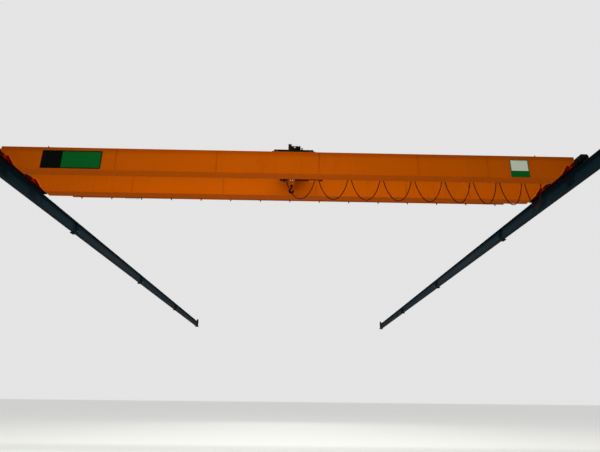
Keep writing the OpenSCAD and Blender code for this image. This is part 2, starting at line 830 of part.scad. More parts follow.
module carrier(n) {
    inner = channel - 2 * channel_t - 1;
    wheel = 11;
    axle_z = channel_z + channel_t + wheel + seat;
    color(dark) translate([carrier_x(n), festoon_y, 0]) {
        translate([0, 0, cable_top]) block(carrier_l, carrier_w, 16);
        translate([0, 0, cable_top + 16]) block(60, 8, axle_z + 5 - cable_top - 16);
        for (x = [-22, 22]) {
            translate([x, 0, axle_z]) {
                rod_y(4, inner - 10);
                for (side = [-1, 1]) {
                    translate([0, side * (inner / 2 - 5), 0]) rod_y(wheel, 9);
                }
            }
        }
    }
}
function loop_points(n) =
    let (
        x0 = carrier_x(n) + lead,
        x1 = carrier_x(n - 1) - (n == 1 ? 12 : lead),
        half = (x1 - x0) / 2,
        drop = LOOP_DROPS[n - 1]
    )
    [for (p = LOOP_SHAPE) [(x0 + x1) / 2 + p[0] * half, festoon_y, cable_top + p[1] * drop]];
function cable_dir(pts, i) =
    let (
        a = i == 0 ? pts[0] + [0, 0, 1] : pts[i - 1],
        b = i == len(pts) - 1 ? pts[i] + [0, 0, 1] : pts[i + 1],
        d = b - a
    ) d / norm(d);
function cable_ring(p, d) =
    [for (k = [0:cable_sides - 1])
        let (a = k * 360 / cable_sides, n = [-d[2], 0, d[0]])
        p + cable_r * (cos(a) * n + sin(a) * [0, 1, 0])];
module cable_loop(n) {
    pts = loop_points(n);
    color(cable_red) ring_loft([for (i = [0:len(pts) - 1])
        cable_ring(pts[i], i == 0 ? [0, 0, -1] : i == len(pts) - 1 ? [0, 0, 1] : cable_dir(pts, i))]);
}

runway_beams(0);  // runway_beams_left
runway_beams(span);  // runway_beams_right
runway_rail(0);  // runway_rail_left
runway_rail(span);  // runway_rail_right
bearing_plates();
runway_stops();
girder(front_y);  // girder_front
girder(rear_y);  // girder_rear
truck(0);  // truck_left
truck(span);  // truck_right
wheel_blocks();
bridge_wheels();
bridge_drives();
bridge_buffers();
trolley_rails();
trolley_stops();
festoon_rail();
festoon_brackets();
festoon_end_clamp();
pendant_rail();
control_cabinet();
trolley_side(front_y);  // trolley_side_front
trolley_side(rear_y);  // trolley_side_rear
trolley_crossbeams();
trolley_wheels();
trolley_buffers();
trolley_drive();
trolley_control_box();
tow_arm();
hoist_drum();
drum_bracket();
hoist_gearbox();
hoist_motor();
equalizer();
upper_rope();
rope_falls();
hook_block();
block_sheaves();
block_rope();
hook();
carrier(1);  // carrier_1
carrier(2);  // carrier_2
carrier(3);  // carrier_3
carrier(4);  // carrier_4
carrier(5);  // carrier_5
carrier(6);  // carrier_6
carrier(7);  // carrier_7
carrier(8);  // carrier_8
carrier(9);  // tow_carrier
cable_loop(1);  // cable_loop_1
cable_loop(2);  // cable_loop_2
cable_loop(3);  // cable_loop_3
cable_loop(4);  // cable_loop_4
cable_loop(5);  // cable_loop_5
cable_loop(6);  // cable_loop_6
cable_loop(7);  // cable_loop_7
cable_loop(8);  // cable_loop_8
cable_loop(9);  // cable_loop_9
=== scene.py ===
"""Dresses an overhead bridge crane and its runway: paint, ropes, cables and small fittings.

Everything is in metres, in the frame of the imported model: X across the hall from the left
runway rail, Y along the runway and Z up from the underside of the runway's bearing plates.
"""

import json
import logging
import math
from collections.abc import Sequence
from dataclasses import dataclass
from enum import Enum

import bmesh
import bpy
import numpy as np
from mathutils import Matrix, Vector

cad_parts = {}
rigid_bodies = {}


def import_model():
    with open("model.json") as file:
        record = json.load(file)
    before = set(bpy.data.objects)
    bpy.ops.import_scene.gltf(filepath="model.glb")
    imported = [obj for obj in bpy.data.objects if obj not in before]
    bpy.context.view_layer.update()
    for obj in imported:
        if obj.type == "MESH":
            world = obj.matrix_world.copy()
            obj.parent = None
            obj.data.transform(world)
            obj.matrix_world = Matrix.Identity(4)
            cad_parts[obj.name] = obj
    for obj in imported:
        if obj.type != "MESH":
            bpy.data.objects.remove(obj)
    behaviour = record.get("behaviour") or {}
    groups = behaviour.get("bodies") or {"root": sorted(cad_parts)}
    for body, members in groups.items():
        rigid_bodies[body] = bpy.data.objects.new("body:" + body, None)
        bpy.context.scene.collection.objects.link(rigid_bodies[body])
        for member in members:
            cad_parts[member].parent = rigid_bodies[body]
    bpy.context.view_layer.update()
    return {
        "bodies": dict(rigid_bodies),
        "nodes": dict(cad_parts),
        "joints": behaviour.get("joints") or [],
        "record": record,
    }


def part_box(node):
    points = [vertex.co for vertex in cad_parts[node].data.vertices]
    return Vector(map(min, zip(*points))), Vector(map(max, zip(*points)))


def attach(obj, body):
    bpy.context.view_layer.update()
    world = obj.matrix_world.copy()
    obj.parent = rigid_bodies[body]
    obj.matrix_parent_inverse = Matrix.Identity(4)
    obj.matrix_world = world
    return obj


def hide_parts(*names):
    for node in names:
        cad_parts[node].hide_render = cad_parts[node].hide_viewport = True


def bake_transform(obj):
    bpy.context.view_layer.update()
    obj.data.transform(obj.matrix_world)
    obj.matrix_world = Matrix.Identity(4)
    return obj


LOG = logging.getLogger("crane")

Tone = tuple[float, float, float, float]
Box = tuple[float, float, float, float]
Materials = dict[str, bpy.types.Material]


def tone(red: int, green: int, blue: int) -> Tone:
    """Turn a screen colour into the linear colour that a shader takes.

    Args:
        red: Red, from 0 to 255.
        green: Green, from 0 to 255.
        blue: Blue, from 0 to 255.

    Returns:
        Linear red, green and blue, and an alpha of one.
    """
    share = np.array([red, green, blue]) / 255
    bright = ((share + 0.055) / 1.055) ** 2.4
    return (*np.where(share <= 0.04045, share / 12.92, bright).tolist(), 1.0)


# Shapes


@dataclass(frozen=True)
class Shape:
    """A mesh in the making.

    Attributes:
        points: One row of X, Y and Z for each point.
        corners: The point numbers of every face, one face after another.
        sizes: How many corners each face has.
    """

    points: np.ndarray
    corners: np.ndarray
    sizes: np.ndarray

    def moved(self, x: float = 0.0, y: float = 0.0, z: float = 0.0) -> "Shape":
        """Return the shape shifted by X, Y and Z."""
        return Shape(self.points + np.array([x, y, z]), self.corners, self.sizes)

    def turned(self, axis: str, degrees: float) -> "Shape":
        """Return the shape turned about the axis X, Y or Z through the origin."""
        turn = np.array(Matrix.Rotation(math.radians(degrees), 3, axis))
        return Shape(self.points @ turn.T, self.corners, self.sizes)

    def mirrored(self, axis: int) -> "Shape":
        """Return the shape mirrored through the origin along axis 0, 1 or 2."""
        flip = np.ones(3)
        flip[axis] = -1
        return Shape(self.points * flip, self.corners, self.sizes)

    def facing(self, axis: int, side: int) -> "Shape":
        """Return the shape mirrored along axis 0, 1 or 2 where the side is negative."""
        return self.mirrored(axis) if side < 0 else self

    def upright(self) -> "Shape":
        """Return the shape stood up, its X along Y, its Y along Z and its Z along X."""
        return self.turned("X", 90).turned("Z", 90)

    def repeated(self, places: np.ndarray) -> "Shape":
        """Copy the shape to each place, as one shape.

        Args:
            places: One row of X, Y and Z for each copy.

        Returns:
            All copies together.
        """
        places = np.asarray(places, float).reshape(-1, 3)
        points = (self.points[None] + places[:, None]).reshape(-1, 3)
        shift = np.arange(len(places))[:, None] * len(self.points)
        return Shape(points, (self.corners[None] + shift).ravel(), np.tile(self.sizes, len(places)))


def joined(shapes: list[Shape]) -> Shape:
    """Join several shapes into one, each keeping its own faces."""
    starts = np.cumsum([0] + [len(shape.points) for shape in shapes[:-1]])
    return Shape(
        np.concatenate([shape.points for shape in shapes]),
        np.concatenate([shape.corners + start for shape, start in zip(shapes, starts)]),
        np.concatenate([shape.sizes for shape in shapes]),
    )


def grid(points: np.ndarray, ring: bool = False) -> Shape:
    """Span rows of points, each of them closed, with faces of four corners.

    Face (i, j) joins the points (i, j), (i, j + 1), (i + 1, j + 1) and (i + 1, j).

    Args:
        points: Rows by columns by three.
        ring: The last row joins the first one. Otherwise the end rows are closed by caps.

    Returns:
        The closed surface.
    """
    count, columns = points.shape[:2]
    number = np.arange(count * columns).reshape(count, columns)
    lattice = np.vstack([number, number[:1]]) if ring else number
    lattice = np.hstack([lattice, lattice[:, :1]])
    quads = np.stack([lattice[:-1, :-1], lattice[:-1, 1:], lattice[1:, 1:], lattice[1:, :-1]], -1)
    corners = [quads.ravel()]
    sizes = [np.full(quads.size // 4, 4)]
    if not ring:
        corners += [number[0][::-1], number[-1]]
        sizes.append(np.full(2, columns))
    return Shape(points.reshape(-1, 3), np.concatenate(corners), np.concatenate(sizes))


def revolved(profile: list[tuple[float, float]] | np.ndarray, steps: int = 48, ring: bool = False) -> Shape:
    """Turn a profile about the Z axis.

    A point of the profile with radius r and height h stands at (r cos a, r sin a, h) for
    every angle a of the turn.

    Args:
        profile: Radius and height of each point.
        steps: Number of points round the turn.
        ring: The profile is a closed outline, as of a tyre, and not open towards the axis.

    Returns:
        The turned surface, closed by flat caps where it isn't a ring.
    """
    radius, height = np.asarray(profile, float).T
    angle = np.linspace(0, 2 * math.pi, steps, endpoint=False)
    points = np.stack([
        np.outer(radius, np.cos(angle)),
        np.outer(radius, np.sin(angle)),
        np.outer(height, np.ones(steps)),
    ], axis=-1)
    return grid(points, ring=ring)


def cylinder(radius: float, height: float, edge: float = 0.001, steps: int = 32) -> Shape:
    """Make a cylinder that stands on Z = 0, its rims broken by a small edge."""
    inner = radius - edge
    return revolved([(inner, 0), (radius, edge), (radius, height - edge), (inner, height)], steps)


def slab(outline: list[tuple[float, float]] | np.ndarray, depth: float, edge: float = 0.0015) -> Shape:
    """Raise an outline to a plate on Z = 0 whose rims are broken by a small edge.

    Each ring is the outline drawn in by its inset along the mitre of every corner, which is
    the sum of the two side normals over one plus their dot product.

    Args:
        outline: X and Y of each point, anticlockwise.
        depth: Height of the plate.
        edge: Size of the broken edge.

    Returns:
        The closed plate.
    """
    line = np.asarray(outline, float)
    ahead = np.roll(line, -1, axis=0) - line
    normal = np.stack([ahead[:, 1], -ahead[:, 0]], 1) / np.linalg.norm(ahead, axis=1)[:, None]
    before = np.roll(normal, 1, axis=0)
    mitre = (normal + before) / (1 + (normal * before).sum(1))[:, None]
    inset = np.array([edge, 0, 0, edge])
    height = np.array([0, edge, depth - edge, depth])
    flat = line[None] - inset[:, None, None] * mitre[None]
    level = np.broadcast_to(height[:, None, None], (4, len(line), 1))
    return grid(np.concatenate([flat, level], axis=2))


def block(x: float, y: float, z: float, edge: float = 0.002) -> Shape:
    """Make a block centred on X and Y that stands on Z = 0, with every edge broken."""
    a, b = x / 2, y / 2
    outline = [
        (a - edge, -b), (a, -b + edge), (a, b - edge), (a - edge, b),
        (-a + edge, b), (-a, b - edge), (-a, -b + edge), (-a + edge, -b),
    ]
    return slab(outline, z, edge)


def circle(radius: float, steps: int) -> np.ndarray:
    """Give points on a circle, anticlockwise, as rows of X and Y."""
    angle = np.linspace(0, 2 * math.pi, steps, endpoint=False)
    return radius * np.stack([np.cos(angle), np.sin(angle)], 1)


def arc(radius: float, start: float, end: float, steps: int) -> np.ndarray:
    """Give points on an arc from one angle to another, in degrees, as rows of X and Y."""
    angle = np.radians(np.linspace(start, end, steps))
    return radius * np.stack([np.cos(angle), np.sin(angle)], 1)


def strip(inner: float, outer: float, start: float, end: float, steps: int) -> np.ndarray:
    """Give the outline of a strip bent about the origin, from one angle to another."""
    return np.vstack([arc(outer, start, end, steps), arc(inner, end, start, steps)])


def tube(path: np.ndarray, radius: float, side: np.ndarray, sides: int = 12,
         strands: int = 0, lay: float = 0.075) -> Shape:
    """Carry a round section along a path.

    At each point the section stands square to the path. Its radius at angle a, a length s
    along the path, is r (1 - d + d |cos(n (a - 2 pi s / lay) / 2)|): plain where the number
    of strands n is zero, and otherwise with the hollows between twisted strands.

    Args:
        path: One row of X, Y and Z for each point.
        radius: Radius of the tube.
        side: A direction, or one for each point, that is never along the path.
        sides: Number of points round the section.
        strands: Number of twisted strands that show.
        lay: Length in which a strand goes once round.

    Returns:
        The tube, closed by flat caps.
    """
    hollow = 0.16 if strands else 0.0
    along = np.gradient(path, axis=0)
    along /= np.linalg.norm(along, axis=1)[:, None]
    out = np.cross(along, np.broadcast_to(side, path.shape))
    out /= np.linalg.norm(out, axis=1)[:, None]
    across = np.cross(along, out)
    length = np.concatenate([[0], np.cumsum(np.linalg.norm(np.diff(path, axis=0), axis=1))])
    angle = np.linspace(0, 2 * math.pi, sides, endpoint=False)
    twist = angle[None] - 2 * math.pi * length[:, None] / lay
    reach = radius * (1 - hollow + hollow * np.abs(np.cos(strands * twist / 2)))
    points = path[:, None] + reach[..., None] * (
        np.cos(angle)[None, :, None] * out[:, None] + np.sin(angle)[None, :, None] * across[:, None]
    )
    return grid(points)


def smooth_line(points: np.ndarray, steps: int, first: np.ndarray, last: np.ndarray) -> np.ndarray:
    """Draw a smooth curve through points, as a chain of Hermite cubics.

    Between two points a and b with slopes u and v, the place at share t is
    (2t3 - 3t2 + 1) a + (t3 - 2t2 + t) u + (3t2 - 2t3) b + (t3 - t2) v. The slope at an inner
    point is half the step from its left to its right neighbour.

    Args:
        points: The points that the curve passes through.
        steps: Number of steps between two of them.
        first: Slope at the first point.
        last: Slope at the last point.

    Returns:
        The points of the curve.
    """
    slope = np.gradient(points, axis=0)
    slope[0], slope[-1] = first, last
    t = np.linspace(0, 1, steps, endpoint=False)[None, :, None]
    a, b = points[:-1, None], points[1:, None]
    u, v = slope[:-1, None], slope[1:, None]
    cubic = ((2 * t**3 - 3 * t**2 + 1) * a + (t**3 - 2 * t**2 + t) * u
             + (3 * t**2 - 2 * t**3) * b + (t**3 - t**2) * v)
    return np.vstack([cubic.reshape(-1, points.shape[1]), points[-1:]])


def rows(x: Sequence[float], y: Sequence[float], z: Sequence[float]) -> np.ndarray:
    """Give every mix of the X, Y and Z values, one place a row."""
    return np.array(np.meshgrid(x, y, z, indexing="ij")).reshape(3, -1).T


def either_side(middles: Sequence[float], gap: float) -> list[float]:
    """Give the two places that lie a gap before and behind each middle."""
    return [middle + way * gap for middle in middles for way in (-1, 1)]


def around(shape: Shape, count: int, start: float = 0.0) -> Shape:
    """Repeat a shape about the Z axis, the first copy turned by start degrees."""
    return joined([shape.turned("Z", start + 360 * step / count) for step in range(count)])


def bolt(size: float, stud: float = 0.0) -> Shape:
    """Make a washer and a hexagon head that stand on Z = 0.

    Args:
        size: Diameter of the bolt.
        stud: How far a threaded end stands above the nut, or zero for a plain head.

    Returns:
        The bolt's visible end.
    """
    washer = slab(circle(1.1 * size, 18), 0.15 * size, 0.02 * size)
    head = slab(circle(0.92 * size, 6), 0.65 * size, 0.07 * size).moved(z=0.15 * size)
    parts = [washer, head]
    if stud:
        parts.append(slab(circle(size / 2, 12), stud, 0.06 * size).moved(z=0.8 * size))
    return joined(parts)


def bead(length: float, leg: float) -> Shape:
    """Make a fillet weld along X in the corner of the planes Y = 0 and Z = 0.

    Its section bulges a little between its two legs, and its ends taper off.

    Args:
        length: Length of the weld, centred on X = 0.
        leg: Size of its legs.

    Returns:
        The closed bead.
    """
    bulge = [(1, 0), (0.68, 0.42), (0.42, 0.68), (0, 1)]
    section = leg * np.array([(-0.3, -0.3), (1, -0.3), *bulge, (-0.3, 1)])
    along = length * np.array([-0.5, -0.47, 0.47, 0.5])
    size = np.array([0.35, 1, 1, 0.35])
    ring = size[:, None, None] * section[None]
    place = np.broadcast_to(along[:, None, None], (4, len(section), 1))
    return grid(np.concatenate([place, ring], axis=2))


def piece(name: str, shape: Shape, material: bpy.types.Material, body: str | None,
          crease: float = 32.0) -> bpy.types.Object:
    """Put a shape into the scene.

    Args:
        name: Name of the piece.
        shape: Its surface, in place.
        material: Its finish.
        body: The body that it rides on, or None where it rides on none.
        crease: Edges sharper than this many degrees stay sharp.

    Returns:
        The new object.
    """
    mesh = bpy.data.meshes.new(name)
    mesh.vertices.add(len(shape.points))
    mesh.vertices.foreach_set("co", shape.points.astype(np.float32).ravel())
    mesh.loops.add(len(shape.corners))
    mesh.loops.foreach_set("vertex_index", shape.corners.astype(np.int32))
    mesh.polygons.add(len(shape.sizes))
    starts = np.concatenate([[0], np.cumsum(shape.sizes)[:-1]])
    mesh.polygons.foreach_set("loop_start", starts.astype(np.int32))
    mesh.update(calc_edges=True)
    work = bmesh.new()
    work.from_mesh(mesh)
    bmesh.ops.recalc_face_normals(work, faces=work.faces)
    work.to_mesh(mesh)
    work.free()
    mesh.polygons.foreach_set("use_smooth", np.ones(len(mesh.polygons), bool))
    mesh.set_sharp_from_angle(angle=math.radians(crease))
    mesh.materials.append(material)
    made = bpy.data.objects.new(name, mesh)
    bpy.context.scene.collection.objects.link(made)
    if body:
        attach(made, body)
    LOG.info("%s: %d faces on %s", name, len(mesh.polygons), body or "two bodies")
    return made


@dataclass(frozen=True)
class Place:
    """The box of a node of the frame."""

    low: np.ndarray
    high: np.ndarray

    @classmethod
    def of(cls, node: str) -> "Place":
        """Read the box of a node."""
        low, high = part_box(node)
        return cls(np.array(low), np.array(high))

    @property
    def middle(self) -> np.ndarray:
        """Return the middle of the box."""
        return (self.low + self.high) / 2


# Shader graphs


class Graph:
    """Adds nodes to one node tree and links them."""

    def __init__(self, tree: bpy.types.NodeTree) -> None:
        """Keep the tree that the nodes go into."""
        self.tree = tree

    def add(self, kind: str, inputs: dict | None = None, **settings: object) -> bpy.types.Node:
        """Add a node.

        Args:
            kind: The node's type, without its ShaderNode prefix.
            inputs: For each input, by name or number, a value or the socket that feeds it.
            **settings: The node's own settings.

        Returns:
            The new node.
        """
        prefix = "" if kind.startswith("NodeGroup") else "ShaderNode"
        node = self.tree.nodes.new(prefix + kind)
        for name, value in settings.items():
            setattr(node, name, value)
        self.feed(node, inputs or {})
        return node

    def feed(self, node: bpy.types.Node, inputs: dict) -> None:
        """Set a node's inputs.

        Args:
            node: A node of the tree.
            inputs: For each input, by name or number, a value or the socket that feeds it.
        """
        for key, value in inputs.items():
            if isinstance(value, bpy.types.NodeSocket):
                self.tree.links.new(value, node.inputs[key])
            else:
                node.inputs[key].default_value = value

    def math(self, operation: str, *values: object) -> bpy.types.NodeSocket:
        """Return the result of a Math node on one to three values or sockets."""
        return self.add("Math", dict(enumerate(values)), operation=operation).outputs[0]

    def mix(self, share: object, first: object, second: object) -> bpy.types.NodeSocket:
        """Return the colour that lies the given share of the way from the first to the second."""
        node = self.add("Mix", {0: share, 6: first, 7: second}, data_type="RGBA")
        return node.outputs[2]

    def ramp(self, value: object, low: float, high: float, start: float = 0.0,
             end: float = 1.0) -> bpy.types.NodeSocket:
        """Return the value taken smoothly from the range low to high into start to end."""
        inputs = {0: value, 1: low, 2: high, 3: start, 4: end}
        return self.add("MapRange", inputs, interpolation_type="SMOOTHSTEP").outputs[0]

    def place(self, scale: tuple[float, float, float] = (1, 1, 1)) -> bpy.types.NodeSocket:
        """Return the object's own coordinates in metres, times a scale along each axis."""
        source = self.add("TexCoord").outputs["Object"]
        return self.add("Mapping", {"Vector": source, "Scale": scale}).outputs[0]

    def noise(self, vector: object, scale: object, detail: float = 3.0,
              rough: float = 0.5) -> bpy.types.NodeSocket:
        """Return fractal noise about one half."""
        inputs = {"Vector": vector, "Scale": scale, "Detail": detail, "Roughness": rough}
        return self.add("TexNoise", inputs).outputs[0]


class Effect(Enum):
    """The node groups that more than one finish uses."""

    DUST = "dust_on_ledges"
    RUNS = "dirty_runs"
    SPECKS = "wear_specks"
    PEEL = "sprayed_skin"
    MOTTLE = "uneven_tone"
    BRUSH = "drawn_marks"


class Effects:
    """Builds each shared node group once, on first use."""

    def __init__(self) -> None:
        """Start with no groups."""
        self.made: dict[Effect, bpy.types.NodeTree] = {}

    def use(self, graph: Graph, effect: Effect, inputs: dict) -> bpy.types.NodeSocket:
        """Place an effect's group in a graph.

        Args:
            graph: The graph of a material.
            effect: Which effect.
            inputs: Values or sockets for the group's named inputs.

        Returns:
            The group's one output.
        """
        if effect not in self.made:
            self.made[effect] = getattr(self, effect.name.lower())(effect.value)
        return graph.add("Group", inputs, node_tree=self.made[effect]).outputs[0]

    @staticmethod
    def start(name: str, inputs: dict[str, str], output: tuple[str, str]) -> tuple[Graph, dict]:
        """Make an empty group.

        Args:
            name: Name of the group.
            inputs: Type of each input, by name: Float or Color.
            output: Name and type of the output.

        Returns:
            The group's graph, and the sockets of its inputs by name.
        """
        tree = bpy.data.node_groups.new(name, "ShaderNodeTree")
        for label, kind in inputs.items():
            tree.interface.new_socket(name=label, in_out="INPUT", socket_type="NodeSocket" + kind)
        tree.interface.new_socket(name=output[0], in_out="OUTPUT", socket_type="NodeSocket" + output[1])
        graph = Graph(tree)
        entry = graph.add("NodeGroupInput")
        return graph, {label: entry.outputs[label] for label in inputs}

    @staticmethod
    def end(graph: Graph, result: bpy.types.NodeSocket) -> bpy.types.NodeTree:
        """Link a group's result to its output and return its tree."""
        graph.add("NodeGroupOutput", {0: result})
        return graph.tree

    def start_mask(self, name: str) -> tuple[Graph, dict]:
        """Make an empty group for a mask of some amount and scale."""
        return self.start(name, {"Amount": "Float", "Scale": "Float"}, ("Mask", "Float"))

    def end_mask(self, graph: Graph, entry: dict, first: object, second: object) -> bpy.types.NodeTree:
        """End a mask as the product of two values and its amount."""
        mask = graph.math("MULTIPLY", first, second)
        return self.end(graph, graph.math("MULTIPLY", mask, entry["Amount"]))

    def dust(self, name: str) -> bpy.types.NodeTree:
        """Build the mask of dust that lies on faces that look up."""
        graph, entry = self.start_mask(name)
        normal = graph.add("NewGeometry").outputs["Normal"]
        up = graph.add("SeparateXYZ", {0: normal}).outputs["Z"]
        ledge = graph.ramp(up, 0.35, 0.95)
        patch = graph.ramp(graph.noise(graph.place(), entry["Scale"], 5.0, 0.6), 0.3, 0.7, 0.35)
        return self.end_mask(graph, entry, ledge, patch)

    def runs(self, name: str) -> bpy.types.NodeTree:
        """Build the mask of dirt that has run down upright faces in narrow trails."""
        graph, entry = self.start_mask(name)
        trail = graph.noise(graph.place((1, 1, 0.07)), entry["Scale"], 4.0, 0.65)
        cloud = graph.noise(graph.place(), 0.7, 2.0)
        return self.end_mask(graph, entry, graph.ramp(trail, 0.5, 0.78), graph.ramp(cloud, 0.35, 0.65))

    def specks(self, name: str) -> bpy.types.NodeTree:
        """Build the mask of small chips and stains."""
        graph, entry = self.start_mask(name)
        grain = graph.noise(graph.place(), entry["Scale"], 6.0, 0.7)
        cloud = graph.ramp(graph.noise(graph.place(), 1.3, 2.0), 0.4, 0.7, 0.25)
        return self.end_mask(graph, entry, graph.ramp(grain, 0.66, 0.74), cloud)

    def peel(self, name: str) -> bpy.types.NodeTree:
        """Build the height of the fine dimples of sprayed paint over slightly wavy plate."""
        graph, entry = self.start(name, {"Scale": "Float", "Wave": "Float"}, ("Height", "Float"))
        dimple = graph.noise(graph.place(), entry["Scale"], 2.0)
        wave = graph.math("MULTIPLY", graph.noise(graph.place(), 1.6, 1.0), entry["Wave"])
        return self.end(graph, graph.math("ADD", dimple, wave))

    def mottle(self, name: str) -> bpy.types.NodeTree:
        """Build a colour whose value drifts up and down in broad clouds."""
        inputs = {"Colour": "Color", "Amount": "Float", "Scale": "Float"}
        graph, entry = self.start(name, inputs, ("Colour", "Color"))
        cloud = graph.noise(graph.place((1, 1, 1.6)), entry["Scale"], 5.0, 0.6)
        drift = graph.math("MULTIPLY_ADD", graph.math("SUBTRACT", cloud, 0.5), entry["Amount"], 1.0)
        shaded = graph.add("HueSaturation", {"Value": drift, "Color": entry["Colour"]})
        return self.end(graph, shaded.outputs[0])

    def brush(self, name: str) -> bpy.types.NodeTree:
        """Build the height of fine marks drawn out along X."""
        graph, entry = self.start(name, {"Scale": "Float", "Length": "Float"}, ("Height", "Float"))
        source = graph.add("SeparateXYZ", {0: graph.place()})
        short = graph.math("DIVIDE", source.outputs["X"], entry["Length"])
        drawn = graph.add("CombineXYZ", {0: short, 1: source.outputs["Y"], 2: source.outputs["Z"]})
        return self.end(graph, graph.noise(drawn.outputs[0], entry["Scale"], 3.0))


# Finishes


def blank_material(name: str) -> tuple[bpy.types.Material, Graph, bpy.types.Node]:
    """Make a material that holds only its shader.

    Args:
        name: Name of the material.

    Returns:
        The material, its graph and its Principled shader.
    """
    material = bpy.data.materials.new(name)
    material.use_nodes = True
    graph = Graph(material.node_tree)
    shader = next(node for node in material.node_tree.nodes if node.type == "BSDF_PRINCIPLED")
    return material, graph, shader


def settle(graph: Graph, shader: bpy.types.Node, height: object, depth: float) -> None:
    """Feed a height through a Bump node of that depth, in metres, into a shader."""
    bump = graph.add("Bump", {"Height": height, "Distance": depth, "Strength": 1.0})
    graph.feed(shader, {"Normal": bump.outputs[0]})


DUST_TONE = tone(150, 142, 130)
GRIME_TONE = tone(46, 30, 18)
RUST_TONE = tone(96, 48, 24)


@dataclass(frozen=True)
class Paint:
    """Sprayed shop paint on steel plate.

    Attributes:
        name: Name of the finish.
        colour: Colour of the clean paint.
        rough: Roughness of the clean paint.
        drift: How far its value drifts, as a share.
        dust: How much dust lies on its ledges.
        runs: How much dirt has run down it.
        chips: How many chips show through it.
        peel: Depth of its skin's dimples, in metres.
        wave: Depth of the plate's waves, as a share of the dimples.
        gloss: How strongly it mirrors.
    """

    name: str
    colour: Tone
    rough: float = 0.42
    drift: float = 0.25
    dust: float = 0.5
    runs: float = 0.3
    chips: float = 0.3
    peel: float = 0.0002
    wave: float = 6.0
    gloss: float = 0.12

    def material(self, effects: Effects) -> bpy.types.Material:
        """Build the material."""
        material, graph, shader = blank_material(self.name)
        clean = {"Colour": self.colour, "Amount": self.drift, "Scale": 0.9}
        base = effects.use(graph, Effect.MOTTLE, clean)
        runs = effects.use(graph, Effect.RUNS, {"Amount": self.runs, "Scale": 9.0})
        chips = effects.use(graph, Effect.SPECKS, {"Amount": self.chips, "Scale": 42.0})
        dust = effects.use(graph, Effect.DUST, {"Amount": self.dust, "Scale": 3.5})
        dirty = graph.mix(runs, base, GRIME_TONE)
        chipped = graph.mix(chips, dirty, RUST_TONE)
        cloud = graph.math("MULTIPLY_ADD", graph.noise(graph.place(), 5.0), 0.12, self.rough - 0.06)
        dull = graph.math("MULTIPLY_ADD", dust, 0.4, graph.math("MULTIPLY", runs, 0.15))
        graph.feed(shader, {
            "Base Color": graph.mix(dust, chipped, DUST_TONE),
            "Roughness": graph.math("ADD", cloud, dull),
            "Specular IOR Level": self.gloss,
        })
        skin = effects.use(graph, Effect.PEEL, {"Scale": 260.0, "Wave": self.wave})
        settle(graph, shader, graph.math("SUBTRACT", skin, chips), self.peel)
        return material


@dataclass(frozen=True)
class Metal:
    """Bare, zinc-coated or oiled steel.

    Attributes:
        name: Name of the finish.
        colour: Colour of the clean metal.
        rough: Its roughness.
        rust: How much of it is rusty.
        grain: Depth of its drawn marks, in metres.
        spangle: How strongly zinc crystals show.
        metallic: How far it is bare metal.
    """

    name: str
    colour: Tone
    rough: float = 0.35
    rust: float = 0.2
    grain: float = 0.0001
    spangle: float = 0.0
    metallic: float = 1.0

    def material(self, effects: Effects) -> bpy.types.Material:
        """Build the material."""
        material, graph, shader = blank_material(self.name)
        base = effects.use(graph, Effect.MOTTLE, {"Colour": self.colour, "Amount": 0.35, "Scale": 4.0})
        if self.spangle:
            cell = graph.add("TexVoronoi", {"Vector": graph.place(), "Scale": 90.0}).outputs["Color"]
            value = graph.add("SeparateColor", {0: cell}).outputs[0]
            lift = graph.math("MULTIPLY_ADD", value, self.spangle, 1 - self.spangle / 2)
            base = graph.add("HueSaturation", {"Value": lift, "Color": base}).outputs[0]
        rust = effects.use(graph, Effect.SPECKS, {"Amount": self.rust, "Scale": 11.0})
        film = effects.use(graph, Effect.DUST, {"Amount": self.rust, "Scale": 6.0})
        rusty = graph.mix(rust, base, RUST_TONE)
        spoilt = graph.math("MAXIMUM", rust, film)
        cloud = graph.math("MULTIPLY_ADD", graph.noise(graph.place(), 14.0), 0.2, self.rough - 0.1)
        graph.feed(shader, {
            "Base Color": graph.mix(film, rusty, DUST_TONE),
            "Metallic": graph.math("MULTIPLY_ADD", spoilt, -self.metallic, self.metallic),
            "Roughness": graph.math("MULTIPLY_ADD", spoilt, 0.4, cloud),
            "Specular IOR Level": 0.02 + 0.14 * self.metallic,
        })
        marks = effects.use(graph, Effect.BRUSH, {"Scale": 420.0, "Length": 14.0})
        settle(graph, shader, graph.math("ADD", marks, rust), self.grain)
        return material


@dataclass(frozen=True)
class Polymer:
    """Moulded plastic, rubber or a cable's jacket.

    Attributes:
        name: Name of the finish.
        colour: Its colour.
        rough: Its roughness.
        dust: How much dust lies on it.
        grain: Depth of its moulded grain, in metres.
    """

    name: str
    colour: Tone
    rough: float = 0.55
    dust: float = 0.3
    grain: float = 0.00008

    def material(self, effects: Effects) -> bpy.types.Material:
        """Build the material."""
        material, graph, shader = blank_material(self.name)
        base = effects.use(graph, Effect.MOTTLE, {"Colour": self.colour, "Amount": 0.3, "Scale": 7.0})
        dust = effects.use(graph, Effect.DUST, {"Amount": self.dust, "Scale": 9.0})
        cloud = graph.math("MULTIPLY_ADD", graph.noise(graph.place(), 25.0), 0.16, self.rough - 0.08)
        graph.feed(shader, {
            "Base Color": graph.mix(dust, base, DUST_TONE),
            "Roughness": graph.math("MULTIPLY_ADD", dust, 0.3, cloud),
            "Specular IOR Level": 0.03,
        })
        grain = effects.use(graph, Effect.PEEL, {"Scale": 900.0, "Wave": 0.0})
        settle(graph, shader, grain, self.grain)
        return material


